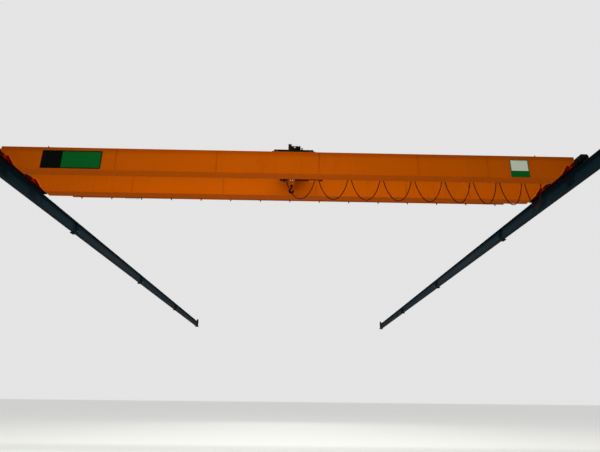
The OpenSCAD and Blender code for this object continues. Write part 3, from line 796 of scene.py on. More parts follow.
FINISHES = {
    "girder_paint": Paint("girder_orange", tone(197, 88, 0), rough=0.5, drift=0.16, runs=0.22, chips=0.18,
                          gloss=0.008),
    # Trucks: red paint darkened nearly to black, as painted shade for the shadow they lie in under the
    # girders.
    "truck_paint": Paint("truck_red_painted_shade", tone(44, 10, 5), rough=0.5, dust=0.2, chips=0.12, gloss=0.01),
    "runway_paint": Paint("runway_petrol", tone(14, 32, 42), rough=0.5, dust=0.3, chips=0.15, gloss=0.01),
    "hoist_paint": Paint("hoist_red", tone(96, 10, 3), rough=0.45, gloss=0.02),
    "trolley_paint": Paint("trolley_black", tone(11, 11, 12), rough=0.5, dust=0.15, chips=0.06, gloss=0.03),
    "block_paint": Paint("block_orange", tone(202, 92, 3), rough=0.45, chips=0.3, gloss=0.02),
    "motor_paint": Paint("motor_dark", tone(16, 18, 21), rough=0.45, wave=0.0, gloss=0.03),
    "cabinet_paint": Paint("cabinet_grey", tone(150, 152, 148), rough=0.5, runs=0.12, chips=0.1, wave=1.0),
    "rail_steel": Metal("rail_steel", tone(60, 52, 46), rough=0.42, rust=0.75, metallic=0.7),
    "wheel_steel": Metal("wheel_steel", tone(62, 58, 58), rough=0.36, rust=0.35),
    "rope_steel": Metal("rope_steel", tone(72, 66, 58), rough=0.45, rust=0.25, metallic=0.8),
    "sheave_steel": Metal("sheave_steel", tone(168, 158, 128), rough=0.4, rust=0.15, metallic=0.5),
    "hook_steel": Metal("hook_forging", tone(9, 8, 8), rough=0.55, rust=0.1, metallic=0.0),
    "channel_zinc": Metal("channel_zinc", tone(96, 92, 86), rough=0.45, rust=0.1, spangle=0.35),
    "buffer_rubber": Polymer("buffer_rubber", tone(12, 12, 12), rough=0.7),
    "carrier_plastic": Polymer("carrier_plastic", tone(14, 13, 14), rough=0.55),
    "cable_jacket": Polymer("cable_jacket", tone(70, 6, 2), rough=0.6, dust=0.0),
}
SIGN_FILM = {"rough": 0.5, "runs": 0.1, "chips": 0.0, "wave": 0.5, "gloss": 0.02}
EXTRA_FINISHES = {
    "bolt_zinc": Metal("bolt_zinc", tone(116, 112, 104), rough=0.4, rust=0.25, spangle=0.1, metallic=0.8),
    "weld_paint": Paint("weld_orange", tone(180, 76, 0), rough=0.5, drift=0.3, chips=0.5, peel=0.0006,
                        gloss=0.01),
    # Joints: a brighter red than the trucks, as painted light for the orange girders' bounce on the trucks
    # beside the girders' ends.
    "joint_red_painted_bounce": Paint("joint_red_painted_bounce", tone(128, 16, 4), rough=0.5, chips=0.2, gloss=0.01),
    "pale_nylon": Polymer("pale_nylon", tone(244, 234, 176), rough=0.5, dust=0.1),
    "wire_black": Polymer("wire_black", tone(12, 12, 13), rough=0.55),
    "sign_black": Paint("sign_black", tone(6, 10, 8), drift=0.1, **SIGN_FILM),
    "sign_green": Paint("sign_green", tone(8, 96, 36), drift=0.12, **SIGN_FILM),
    "sign_white": Paint("sign_white", tone(216, 222, 206), drift=0.1, **SIGN_FILM),
}


def make_finishes() -> Materials:
    """Build every finish once.

    Returns:
        The materials by the name of their slot, or by their own key where they have none.
    """
    effects = Effects()
    return {key: finish.material(effects) for key, finish in {**FINISHES, **EXTRA_FINISHES}.items()}


def dress(frame: dict, finishes: Materials) -> None:
    """Give each node of the frame the finish of its slot in the record."""
    for entry in frame["record"]["subparts"]:
        mesh = frame["nodes"][entry["node"]].data
        mesh.materials.clear()
        mesh.materials.append(finishes[entry["material_slot"]])
    LOG.info("%d nodes dressed", len(frame["nodes"]))


# Sub-assemblies


@dataclass
class Festoon:
    """The cable loops under the festoon rail, which follow the trolley.

    Attributes:
        clamp_x: Where the fixed end hangs.
        spans: From carrier to carrier, from the fixed end towards the trolley.
        drops: How low each loop hangs.
        outline: A loop's route, as shares of its half width and its drop.
        top: Height at which the cables leave their carriers.
        lead: From a carrier's middle to where a loop leaves it.
        clamp_lead: The same at the fixed end.
        cable_r: Radius of a cable.
        steps: Steps of the smooth curve between two points of the route.
    """

    clamp_x: float = 16.280
    spans: tuple[float, ...] = (0.570, 0.790, 0.810, 0.880, 0.940, 0.970, 0.990, 1.010, 1.000)
    drops: tuple[float, ...] = (0.870, 0.815, 0.810, 0.785, 0.765, 0.755, 0.750, 0.745, 0.745)
    outline: tuple[tuple[float, float], ...] = (
        (-1, 0), (-0.93, -0.2), (-0.75, -0.54), (-0.4, -0.88), (0, -1),
        (0.4, -0.88), (0.75, -0.54), (0.93, -0.2), (1, 0),
    )
    top: float = 0.385
    lead: float = 0.038
    clamp_lead: float = 0.012
    cable_r: float = 0.014
    steps: int = 8

    def body(self, number: int) -> str:
        """Name the body that carries the left end of a loop."""
        return "festoon_tow" if number == len(self.spans) else f"festoon_{number}"

    def carrier(self, number: int) -> str:
        """Name the node of the carrier that rides on that body."""
        return "tow_carrier" if number == len(self.spans) else f"carrier_{number}"

    def route(self, number: int) -> np.ndarray:
        """Lay a loop's smooth route.

        Args:
            number: Which loop, from the fixed end.

        Returns:
            The points of the route, from the loop's left end to its right end.
        """
        left = self.clamp_x - sum(self.spans[:number]) + self.lead
        start_lead = self.clamp_lead if number == 1 else self.lead
        right = self.clamp_x - sum(self.spans[:number - 1]) - start_lead
        drop = self.drops[number - 1]
        share = np.array(self.outline)
        x = (left + right) / 2 + share[:, 0] * (right - left) / 2
        z = self.top + share[:, 1] * drop
        y = np.full(len(x), Place.of("festoon_rail").middle[1])
        down = np.array([0, 0, -0.2 * drop])
        return smooth_line(np.stack([x, y, z], 1), self.steps, down, -down)

    def build(self, finishes: Materials) -> None:
        """Make every loop's cable as a piece that rides on no body, and hide the node it replaces."""
        for number in range(1, len(self.spans) + 1):
            path = self.route(number)
            shape = tube(path, self.cable_r, np.array([0, 1, 0]), sides=14)
            loop = piece(f"festoon_cable_{number}", shape, finishes["cable_jacket"], None)
            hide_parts(f"cable_loop_{number}")
            before = "bridge" if number == 1 else self.body(number - 1)
            self.body(number)
            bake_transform(loop)


@dataclass
class Signs:
    """The two sign boards on the front girder's near web, left bare.

    Attributes:
        left: Left, right, bottom and top of the left board.
        right: The same of the right board.
        left_split: Share of the left board's width that lies beside its panel.
        right_split: Share of the right board's height that lies under its panel.
        board: Thickness of a board.
        face: Thickness of the coloured panel on it.
        border: How far a panel stays in from the board's edges.
        web_in: How far the web lies behind the flange's edge.
        rivet_in: How far the rivets stand in from the board's sides, and from its edges.
        rivet_gap: About how far apart they stand.
    """

    left: Box = (1.16, 2.92, 0.235, 0.82)
    right: Box = (15.09, 15.66, 0.22, 0.80)
    left_split: float = 0.34
    right_split: float = 0.36
    board: float = 0.003
    face: float = 0.001
    border: float = 0.03
    web_in: float = 0.018
    rivet_in: tuple[float, float] = (0.015, 0.013)
    rivet_gap: float = 0.35

    @property
    def web(self) -> float:
        """Return where the near web's face lies along Y."""
        return Place.of("girder_front").low[1] + self.web_in

    def panel(self, box: Box, depth: float, behind: float) -> Shape:
        """Make an upright panel.

        Args:
            box: Its left, right, bottom and top.
            depth: Its thickness.
            behind: How far its back stands off the web.

        Returns:
            The panel, in place.
        """
        x0, x1, z0, z1 = box
        flat = block(x1 - x0, z1 - z0, depth, 0.0004).turned("X", 90)
        return flat.moved((x0 + x1) / 2, self.web - behind, (z0 + z1) / 2)

    def rivets(self, box: Box) -> Shape:
        """Put a row of rivet heads along the upper and the lower edge of a board."""
        x0, x1, z0, z1 = box
        side, edge = self.rivet_in
        head = revolved([(0.006, 0), (0.0055, 0.0012), (0.0035, 0.0025), (0.001, 0.003)], 12).turned("X", 90)
        count = max(2, round((x1 - x0) / self.rivet_gap) + 1)
        spots = np.linspace(x0 + side, x1 - side, count).tolist()
        return head.repeated(rows(spots, [self.web - self.board], [z0 + edge, z1 - edge]))

    def put_up(self, name: str, box: Box, inner: Box, looks: tuple[str, str], finishes: Materials) -> None:
        """Put up one board with its panel and its rivets.

        Args:
            name: Which board.
            box: Left, right, bottom and top of the board.
            inner: The same of its panel.
            looks: Finish of the board, and of the panel.
            finishes: Every finish.
        """
        parts = {
            "board": (self.panel(box, self.board, 0.0), looks[0]),
            "panel": (self.panel(inner, self.face, self.board), looks[1]),
            "rivets": (self.rivets(box), "bolt_zinc"),
        }
        for part, (shape, finish) in parts.items():
            piece(f"sign_{name}_{part}", shape, finishes[finish], "bridge")

    def build(self, finishes: Materials) -> None:
        """Put both boards up."""
        edge = self.border
        x0, x1, z0, z1 = self.left
        green = (x0 + (x1 - x0) * self.left_split, x1 - edge, z0 + edge, z1 - edge)
        self.put_up("left", self.left, green, ("sign_black", "sign_green"), finishes)
        x0, x1, z0, z1 = self.right
        white = (x0 + edge, x1 - edge, z0 + (z1 - z0) * self.right_split, z1 - edge)
        self.put_up("right", self.right, white, ("sign_green", "sign_white"), finishes)


@dataclass(frozen=True)
class Plan:
    """The main places of the crane, in metres.

    Attributes:
        span: From one runway rail to the other.
        bay: From one bearing plate to the next.
        bays: Number of bays.
        bearing_top: Top of the bearing plates.
        beam_top: Top of the runway beams.
        beam_half: Half a runway beam's width.
        truck_top: Top of the end trucks.
        truck_half_w: Half a truck's width.
        wheel_z: Height of the bridge wheels' axles.
        wheel_y: Where those axles stand.
        buffer_z: Height of the bridge buffers' middle.
        girder_top: Top of the girders.
        girder_bottom: Their underside.
        girder_y: Where they stand.
        girder_half: Half a girder's width.
        web_half: From a girder's middle to the outer face of a web.
        bridge_y: The bridge's middle.
        trolley_x: The trolley's middle.
        hook_x: Where the hook hangs.
        side_z: Underside of the trolley's side frames.
        side_top: Their top.
        drum_y: Where the drum's axis lies.
        drum_z: Its height.
        drum_r: Radius of the drum to the rope's centre.
        drum_half: Half the drum's length.
        pitch: From one rope groove to the next.
        rope_r: Radius of the rope.
        sheave_r: Radius of the block's sheaves to the rope's centre.
        sheave_x: From the hook to either sheave's middle.
        block_z: Height of the block's pin.
        cross_z: Height of the crosshead's middle.
        seat_z: Height of the middle of the hook's seat.
        seat_r: Radius of the seat.
        equal_y: Where the small upper sheave hangs.
        equal_z: Height of its axis.
    """

    span: float = 17.0
    bay: float = 9.0
    bays: int = 4
    bearing_top: float = 0.025
    beam_top: float = 0.425
    beam_half: float = 0.09
    truck_top: float = 0.61
    truck_half_w: float = 0.13
    wheel_z: float = 0.5703
    wheel_y: tuple[float, float] = (3.115, 6.015)
    buffer_z: float = 0.5925
    girder_top: float = 0.91
    girder_bottom: float = 0.19
    girder_y: tuple[float, float] = (3.74, 5.39)
    girder_half: float = 0.19
    web_half: float = 0.172
    bridge_y: float = 4.565
    trolley_x: float = 8.6
    hook_x: float = 8.55
    side_z: float = 0.95
    side_top: float = 1.05
    drum_y: float = 4.815
    drum_z: float = 0.7
    drum_r: float = 0.15
    drum_half: float = 0.3
    pitch: float = 0.016
    rope_r: float = 0.006
    sheave_r: float = 0.1
    sheave_x: float = 0.05
    block_z: float = 0.48
    cross_z: float = 0.315
    seat_z: float = 0.08
    seat_r: float = 0.036
    equal_y: float = 4.465
    equal_z: float = 0.875

    @property
    def rails(self) -> tuple[float, float]:
        """Return where the two runway rails lie."""
        return 0.0, self.span

    @property
    def length(self) -> float:
        """Return the length of the runway, from its first to its last bearing plate."""
        return self.bay * self.bays


PLAN = Plan()


class Kit:
    """Gathers shapes by finish, and puts them in as one piece for each finish."""

    def __init__(self, name: str, body: str, slot: str) -> None:
        """Start an empty kit.

        Args:
            name: First part of the name of its pieces.
            body: The body that it rides on.
            slot: The record's material slot for the pieces; not used.
        """
        self.name, self.body, self.slot = name, body, slot
        self.shapes: dict[str, list[Shape]] = {}

    def add(self, finish: str, *shapes: Shape) -> None:
        """Add shapes in place."""
        self.shapes.setdefault(finish, []).extend(shapes)

    def bolts(self, places: np.ndarray, size: float, stud: float = 0.0,
              turn: tuple[str, float] = ("Z", 0.0), finish: str = "bolt_zinc") -> None:
        """Put a bolt at each place.

        Args:
            places: One row of X, Y and Z for each bolt.
            size: Diameter of a bolt.
            stud: How far its threaded end stands above the nut, or zero for a plain head.
            turn: The axis and the degrees by which it is turned from upright.
            finish: Its finish.
        """
        self.add(finish, bolt(size, stud).turned(*turn).repeated(places))

    def shift(self, x: float = 0.0, y: float = 0.0, z: float = 0.0) -> None:
        for shapes in self.shapes.values():
            shapes[:] = [shape.moved(x, y, z) for shape in shapes]

    def build(self, finishes: Materials, node: str | None = None, crease: float = 32.0) -> None:
        """Put the pieces in.

        Args:
            finishes: Every finish.
            node: The node of the frame that they replace, or None.
            crease: Edges sharper than this many degrees stay sharp.
        """
        for finish, shapes in self.shapes.items():
            name = f"{self.name}_{finish}"
            made = piece(name, joined(shapes), finishes[finish], self.body, crease)
            if node:
                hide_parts(node)


def motor(radius: float, length: float, fins: int, box_turn: float | None = None,
          waist: float = 1.0) -> tuple[Shape, Shape]:
    """Make a finned motor along Z, from its flange at zero to the end of its fan cover.

    Args:
        radius: Radius of its body.
        length: Its length.
        fins: Number of cooling fins.
        box_turn: Where its terminal box sits, in degrees from X, or None for no box.
        waist: Size of the finned body against the fan cover's.

    Returns:
        The painted shape, and the bolts and the gland.
    """
    top = length - 0.8 * radius
    slim = waist * radius
    frame = [
        (1.2 * slim, 0), (1.22 * slim, 0.003), (1.22 * slim, 0.016), (1.18 * slim, 0.018),
        (0.99 * slim, 0.02), (0.97 * slim, 0.03), (0.97 * slim, top - 0.02), (0.99 * slim, top - 0.014),
        (0.99 * slim, top),
    ]
    fan_cover = [
        (1.15 * radius, top), (1.18 * radius, top + 0.003), (1.18 * radius, length - 0.014),
        (1.14 * radius, length - 0.004), (1.06 * radius, length), (0.96 * radius, length),
        (0.94 * radius, length - 0.006), (0.3 * radius, length - 0.006), (0.28 * radius, length - 0.001),
        (0.02, length - 0.001),
    ]
    fin = block(0.22 * slim, 0.0035, top - 0.052, 0.001).moved(1.05 * slim, 0, 0.03)
    spoke = block(0.66 * radius, 0.004, 0.005, 0.001).moved(0.62 * radius, 0, length - 0.007)
    body = [revolved(frame, 56), revolved(fan_cover, 56), around(fin, fins, 180 / fins), around(spoke, 16)]
    for share in (0.5, 0.72):
        wire = np.array([(0, 0), (0.003, 0), (0.003, 0.005), (0, 0.005)]) + (share * radius, length - 0.007)
        body.append(revolved(wire, 40, ring=True))
    fittings = [around(bolt(0.1 * slim).moved(1.08 * slim, 0, 0.018), 4, 45)]
    if box_turn is not None:
        middle, face, lid_t = 0.4 * length, 1.47 * radius, 0.008
        deep, wide, high = face - 0.96 * slim, 1.1 * radius, 1.2 * radius
        box = block(deep, wide, high).moved(face - deep / 2, 0, middle - high / 2)
        lid = block(wide + lid_t, high + lid_t, lid_t).turned("Y", 90).moved(face, 0, middle)
        body += [box.turned("Z", box_turn), lid.turned("Z", box_turn)]
        screw = bolt(0.006).turned("Y", 90).moved(face + lid_t, 0, middle)
        corners = rows([0], either_side([0], 0.44 * wide), either_side([0], 0.42 * high))
        gland = cylinder(0.012, 0.03).turned("X", 90).moved(1.22 * radius, -wide / 2, middle)
        fittings += [screw.repeated(corners).turned("Z", box_turn), gland.turned("Z", box_turn)]
    return joined(body), joined(fittings)


@dataclass
class Runway:
    """Welds, anchor studs and joints of the two runway beams.

    Attributes:
        rail_foot: Half the width of a rail's foot.
        rail_h: Height of a rail.
        stitch: Length and leg of the stitch welds along the rails.
        stitch_row: Where the first of them lies, and how far apart they are.
        seat: Length and leg of the welds at the bearing plates.
        anchor: Half the anchor pattern, across the beam and along it.
        stud: Diameter of an anchor stud, and how far it stands above its nut.
        stop_out: How far an end stop's face lies past the last bearing plate.
        pad: Side and thickness of the rubber pad on a stop.
        foot: Length and leg of the weld at a stop's foot.
    """

    rail_foot: float = 0.025
    rail_h: float = 0.0392
    stitch: tuple[float, float] = (0.1, 0.006)
    stitch_row: tuple[float, float] = (0.1, 0.3)
    seat: tuple[float, float] = (0.22, 0.008)
    anchor: tuple[float, float] = (0.125, 0.09)
    stud: tuple[float, float] = (0.02, 0.028)
    stop_out: float = 0.12
    pad: tuple[float, float] = (0.11, 0.004)
    foot: tuple[float, float] = (0.15, 0.008)

    def build(self, finishes: Materials) -> None:
        """Put the small parts on both beams."""
        kit = Kit("runway_fittings", "runway", "runway_paint")
        first, pitch = self.stitch_row
        stitches = np.arange(first, PLAN.length, pitch).tolist()
        plates = [PLAN.bay * number for number in range(PLAN.bays + 1)]
        for side in (-1, 1):
            feet = [rail + side * self.rail_foot for rail in PLAN.rails]
            edges = [rail + side * PLAN.beam_half for rail in PLAN.rails]
            stitch, seat = (bead(*weld).turned("Z", -90 * side) for weld in (self.stitch, self.seat))
            kit.add("runway_paint", stitch.repeated(rows(feet, stitches, [PLAN.beam_top])),
                    seat.repeated(rows(edges, plates, [PLAN.bearing_top])))
        across, along = self.anchor
        holes = rows(either_side(PLAN.rails, across), either_side(plates, along), [PLAN.bearing_top])
        kit.bolts(holes, *self.stud)
        seam = block(0.05, 0.004, 0.0015, 0.0005)
        kit.add("runway_paint", seam.repeated(rows(PLAN.rails, plates[1:-1], [PLAN.beam_top + self.rail_h])))
        self.stops(kit)
        kit.build(finishes)

    def stops(self, kit: Kit) -> None:
        """Put a rubber pad on each end stop, and weld the stop to the beam."""
        side, thick = self.pad
        for edge, inward in ((-self.stop_out, 1), (PLAN.length + self.stop_out, -1)):
            pad = block(side, side, thick, 0.001).turned("X", -90 * inward)
            weld = bead(*self.foot).facing(1, inward)
            for rail in PLAN.rails:
                kit.add("buffer_rubber", pad.moved(rail, edge, PLAN.buffer_z))
                kit.add("runway_paint", weld.moved(rail, edge, PLAN.beam_top))


@dataclass
class Bridge:
    """Welds, caps, bolts, conduit and drives of the bridge.

    Attributes:
        flange: Thickness of a girder's flanges.
        welds: Length and leg of the welds along the bottom flange, along the top flange, at a
            trolley rail and at a truck.
        rail_row: Where the stitches at a trolley rail start and end, and how far apart they are.
        rail_foot: Half the width of a trolley rail's foot.
        truck_in: How far the welds at the trucks lie in from the runway rails.
        web_seams: Where the webs' plates are welded end to end.
        flange_seams: The same for the bottom flanges.
        pad: Thickness, length and height of a joint's pad.
        gusset_t: Thickness of a joint's gussets.
        skin: Gap that keeps one face from another.
        cap_out: From a wheel's middle to the outer face of its block.
        block_in: From an axle to the bolts at the block's inner end.
        block_bolts: Heights of those bolts.
        block_half: From an axle to the block's outer end.
        cover: Side and thickness of the covers on the trucks' ends.
        cover_bolt: Half the bolt pattern of a cover.
        arms: Where the festoon rail's first arm stands, how far apart they are and how many.
        arm_bolt: Half the gap between the two bolts of an arm.
        hangers: How far apart the clamps under the second channel are, and how many.
        channel_y: Where the second channel lies.
        conduit_r: Radius of the conduit.
        conduit_z: Its height along the girder.
        saddles: Where its saddles start and end, and how far apart they are.
        drive_out: From a runway rail to the back of its drive.
    """

    flange: float = 0.01
    welds: tuple[tuple[float, float], ...] = ((15.9, 0.006), (17.08, 0.006), (0.08, 0.005), (0.19, 0.007))
    rail_row: tuple[float, float, float] = (1.4, 15.9, 0.3)
    rail_foot: float = 0.02
    truck_in: float = 0.03
    web_seams: tuple[float, ...] = (3.34, 6.31, 9.36, 12.33, 14.42)
    flange_seams: tuple[float, ...] = (4.1, 8.05, 12.9)
    pad: tuple[float, float, float] = (0.01, 0.62, 0.112)
    gusset_t: float = 0.012
    skin: float = 0.0002
    cap_out: float = 0.145
    block_in: float = 0.128
    block_bolts: tuple[float, ...] = (0.5, 0.545, 0.59)
    block_half: float = 0.15
    cover: tuple[float, float] = (0.15, 0.006)
    cover_bolt: float = 0.064
    arms: tuple[float, float, int] = (16.24, 1.5, 11)
    arm_bolt: float = 0.014
    hangers: tuple[float, int] = (0.99, 15)
    channel_y: float = 5.67
    conduit_r: float = 0.011
    conduit_z: float = 0.85
    saddles: tuple[float, float, float] = (0.9, 16.2, 0.9)
    drive_out: float = 0.1453

    def build(self, finishes: Materials) -> None:
        """Put the small parts on the girders, the trucks and the cabinet, and make the drives."""
        kit = Kit("bridge_fittings", "bridge", "girder_paint")
        self.girder_welds(kit)
        self.joints(kit)
        self.truck_parts(kit)
        self.brackets(kit)
        self.conduit(kit)
        kit.build(finishes)
        self.cabinet(finishes)
        self.drives(finishes)

    def girder_welds(self, kit: Kit) -> None:
        """Weld webs to flanges, plates end to end, rails to girders and girders to trucks."""
        middle_x, middle_z = PLAN.span / 2, (PLAN.girder_bottom + PLAN.girder_top) / 2
        upright = block(0.011, 0.70, 0.0014, 0.0004)
        across = block(0.011, 0.376, 0.0014, 0.0004).mirrored(2)
        stitches = np.arange(*self.rail_row).tolist()
        ends = [self.truck_in, PLAN.span - self.truck_in]
        for y in PLAN.girder_y:
            for side in (-1, 1):
                low, top, stitch, seat = (bead(*size).facing(1, side) for size in self.welds)
                web, edge = y + side * PLAN.web_half, y + side * PLAN.girder_half
                kit.add("weld_paint",
                        low.moved(middle_x, web, PLAN.girder_bottom + self.flange),
                        top.mirrored(2).moved(middle_x, web, PLAN.girder_top - self.flange),
                        stitch.repeated(rows(stitches, [y + side * self.rail_foot], [PLAN.girder_top])),
                        seat.repeated(rows(ends, [edge], [PLAN.truck_top])),
                        upright.turned("X", 90 * side).repeated(rows(self.web_seams, [web], [middle_z])))
            kit.add("weld_paint", across.repeated(rows(self.flange_seams, [y], [PLAN.girder_bottom])))

    def joints(self, kit: Kit) -> None:
        """Put a red pad on the trucks' inner sides at each girder's end, with gussets and bolts, in a
        brighter red than the trucks: painted light for the orange girders' bounce on the trucks beside their
        ends.
        """
        edge, top = PLAN.truck_half_w, PLAN.truck_top
        thick, long, high = self.pad
        pad = block(thick, long, high).moved(edge + thick / 2 + self.skin, -0.01, top - 0.118)
        outline = [(edge + thick, top - 0.124), (0.285, top - 0.1285), (0.2, top - 0.0005),
                   (edge + thick, top - 0.0005)]
        gusset = slab(outline, self.gusset_t).turned("X", 90)
        heads = bolt(0.016, 0.006).turned("Y", 90).repeated(
            rows([edge + thick + self.skin], [-0.29, -0.235, 0.215, 0.27], [top - 0.095, top - 0.03]))
        parts = [pad, gusset.moved(y=self.gusset_t - PLAN.web_half), gusset.moved(y=PLAN.web_half), heads]
        for y in PLAN.girder_y:
            joint = joined(parts).moved(y=y)
            kit.add("joint_red_painted_bounce", joint, joint.mirrored(0).moved(PLAN.span))

    def truck_parts(self, kit: Kit) -> None:
        """Put caps on the axles, bolts on the wheel blocks and covers on the trucks' ends."""
        disc = revolved([(0.05, 0), (0.052, 0.002), (0.052, 0.009), (0.046, 0.012), (0.01, 0.013)], 36)
        cap = joined([disc, around(bolt(0.008).moved(0.042, 0, 0.011), 4, 45)])
        side_of_cover, thick = self.cover
        cover = block(side_of_cover, side_of_cover, thick)
        for rail, inward in zip(PLAN.rails, (1, -1)):
            for y, outward in zip(PLAN.wheel_y, (-1, 1)):
                for side in (-1, 1):
                    turn = ("Y", 90 * side)
                    driven = outward > 0 and side == inward
                    if not driven:
                        outer = rail + side * self.cap_out
                        kit.add("trolley_paint", cap.turned(*turn).moved(outer, y, PLAN.wheel_z))
                    face, inner_end = rail + side * PLAN.truck_half_w, y - outward * self.block_in
                    spots = rows([face], [inner_end], self.block_bolts)
                    kit.bolts(spots, 0.016, 0.008, turn, "trolley_paint")
                end, turn = y + outward * self.block_half, ("X", -90 * outward)
                kit.add("trolley_paint", cover.turned(*turn).moved(rail, end, PLAN.buffer_z))
                spots = rows(either_side([rail], self.cover_bolt), [end + outward * thick],
                             either_side([PLAN.buffer_z], self.cover_bolt))
                kit.bolts(spots, 0.01, turn=turn, finish="trolley_paint")

    def brackets(self, kit: Kit) -> None:
        """Bolt the festoon rail's arms, and hang the clamps under the second channel."""
        first, pitch, count = self.arms
        arms = [first - pitch * number for number in range(count)]
        kit.bolts(rows(either_side(arms, self.arm_bolt), [3.918], [0.455]), 0.01, 0.004, ("X", -90))
        kit.bolts(rows([arm + self.arm_bolt for arm in arms], [4.14], [0.486]), 0.01, 0.004)
        pitch, count = self.hangers
        places = [PLAN.span / 2 + (number - count // 2) * pitch for number in range(count)]
        clamp = block(0.044, 0.05, 0.006).moved(z=-0.008)
        hanger = block(0.03, 0.024, 0.044).moved(z=-0.05)
        kit.add("trolley_paint", joined([clamp, hanger]).repeated(rows(places, [self.channel_y], [0.196])))
        kit.bolts(rows(places, [self.channel_y - 0.03], [0.242]), 0.01, 0.004)

    def conduit(self, kit: Kit) -> None:
        """Run a conduit along the rear girder from the cabinet to both drives."""
        y, z = PLAN.girder_y[1] + PLAN.web_half + 0.016, self.conduit_z
        bend = smooth_line(np.array([(0.3, 6.0, 0.76), (0.33, 5.8, 0.83), (0.6, y, z)]), 14,
                           np.array([0, -0.2, 0.05]), np.array([0.3, 0, 0]))
        path = np.vstack([bend, bend[::-1] * (-1, 1, 1) + (PLAN.span, 0, 0)])
        kit.add("wire_black", tube(path, self.conduit_r, np.array([0, 0, 1]), sides=12))
        saddle = block(0.02, 0.03, 0.03, 0.003).moved(0, y - 0.003, z - 0.015)
        kit.add("bolt_zinc", saddle.repeated(rows(np.arange(*self.saddles).tolist(), [0], [0])))

    @staticmethod
    def cabinet(finishes: Materials) -> None:
        """Put a rain lip, hinges, locks, vents and glands on the cabinet."""
        box = Place.of("control_cabinet")
        kit = Kit("cabinet_fittings", "bridge", "cabinet_paint")
        x0, x1 = box.low[0], box.high[0]
        y1, z0, z1 = box.high[1], box.low[2], box.high[2]
        lip = block(x1 - x0 + 0.03, 0.262, 0.004, 0.0015).moved(box.middle[0], y1 - 0.105, z1)
        kit.add("cabinet_paint", lip)
        hinge = cylinder(0.007, 0.06, steps=20)
        heights = z0 + np.array([0.06, 0.22, 0.38])
        kit.add("bolt_zinc", hinge.repeated(rows([x0 + 0.006], [y1 - 0.001], heights)))
        lock = revolved([(0.014, 0), (0.0145, 0.004), (0.011, 0.009), (0.002, 0.01)], 24).turned("X", -90)
        kit.add("bolt_zinc", lock.repeated(rows([x1 - 0.04], [y1], [z0 + 0.12, z0 + 0.38])))
        louvre = block(0.16, 0.006, 0.004, 0.001)
        slats = np.linspace(z0 + 0.07, z0 + 0.13, 6).tolist()
        kit.add("cabinet_paint", louvre.repeated(rows([box.middle[0]], [y1 + 0.001], slats)))
        gland = joined([slab(circle(0.016, 6), 0.012, 0.001), cylinder(0.012, 0.026)]).mirrored(2)
        spots = rows(np.linspace(x0 + 0.1, x0 + 0.5, 6).tolist(), [y1 - 0.1], [z0])
        kit.add("bolt_zinc", gland.repeated(spots))
        tray_y = PLAN.girder_y[1] + PLAN.girder_half + 0.002
        for number, spot in enumerate(spots):
            level = 0.21 + 0.0135 * number
            path = smooth_line(np.array([
                spot + (0, 0, -0.02), spot + (0, -0.02, -0.1), spot + (0.02, -0.1, -0.14),
                (spot[0] + 0.18 + 0.03 * number, tray_y, level), (4.6 + 0.1 * number, tray_y, level),
            ]), 10, np.array([0, 0, -0.08]), np.array([0.3, 0, 0]))
            kit.add("wire_black", tube(path, 0.006, np.array([0, 0.2, 1]), sides=10))
        kit.build(finishes)

    def drives(self, finishes: Materials) -> None:
        """Make both travel drives: gear case, motor, and the arm that keeps them from turning."""
        painted, zinc = motor(0.062, 0.275, 24, box_turn=180)
        shaft = (0.08, 0, 0.09)
        rib = block(0.014, 0.008, 0.06, 0.001).moved(0.03)
        boss = revolved([(0.055, 0), (0.055, 0.008), (0.048, 0.012), (0.01, 0.012)], 36)
        case = joined([
            block(0.08, 0.15, 0.24, 0.008).moved(0.04, 0, -0.07),
            block(0.012, 0.166, 0.256, 0.003).moved(0.045, 0, -0.078),
            block(0.0156, 0.06, 0.05, 0.001).moved(-0.0075, 0, 0.08),
            around(rib, 4, 45).turned("Y", 90).moved(0.018),
            boss.turned("Y", 90).moved(0.08),
        ])
        seam = bolt(0.008, 0.003).turned("Y", 90).repeated(
            rows([0.051], [-0.076, 0.076], np.linspace(-0.06, 0.16, 5).tolist()))
        plug = slab(circle(0.011, 6), 0.008, 0.001).moved(0.04, 0.03, 0.17)
        eye = revolved(circle(0.004, 10) + (0.014, 0), 24, ring=True)
        eye = eye.turned("X", 90).moved(0.04, -0.03, 0.186)
        parts = {"motor_paint": joined([case, painted.turned("Y", 90).moved(*shaft)]),
                 "bolt_zinc": joined([seam, plug, eye, zinc.turned("Y", 90).moved(*shaft)])}
        kit = Kit("bridge_drives", "bridge", "motor_paint")
        for rail, inward, turn in zip(PLAN.rails, (1, -1), (0, 180)):
            for finish, part in parts.items():
                place = (rail + inward * self.drive_out, PLAN.wheel_y[1], PLAN.wheel_z)
                kit.add(finish, part.turned("Z", turn).moved(*place))
        kit.build(finishes, "bridge_drives")


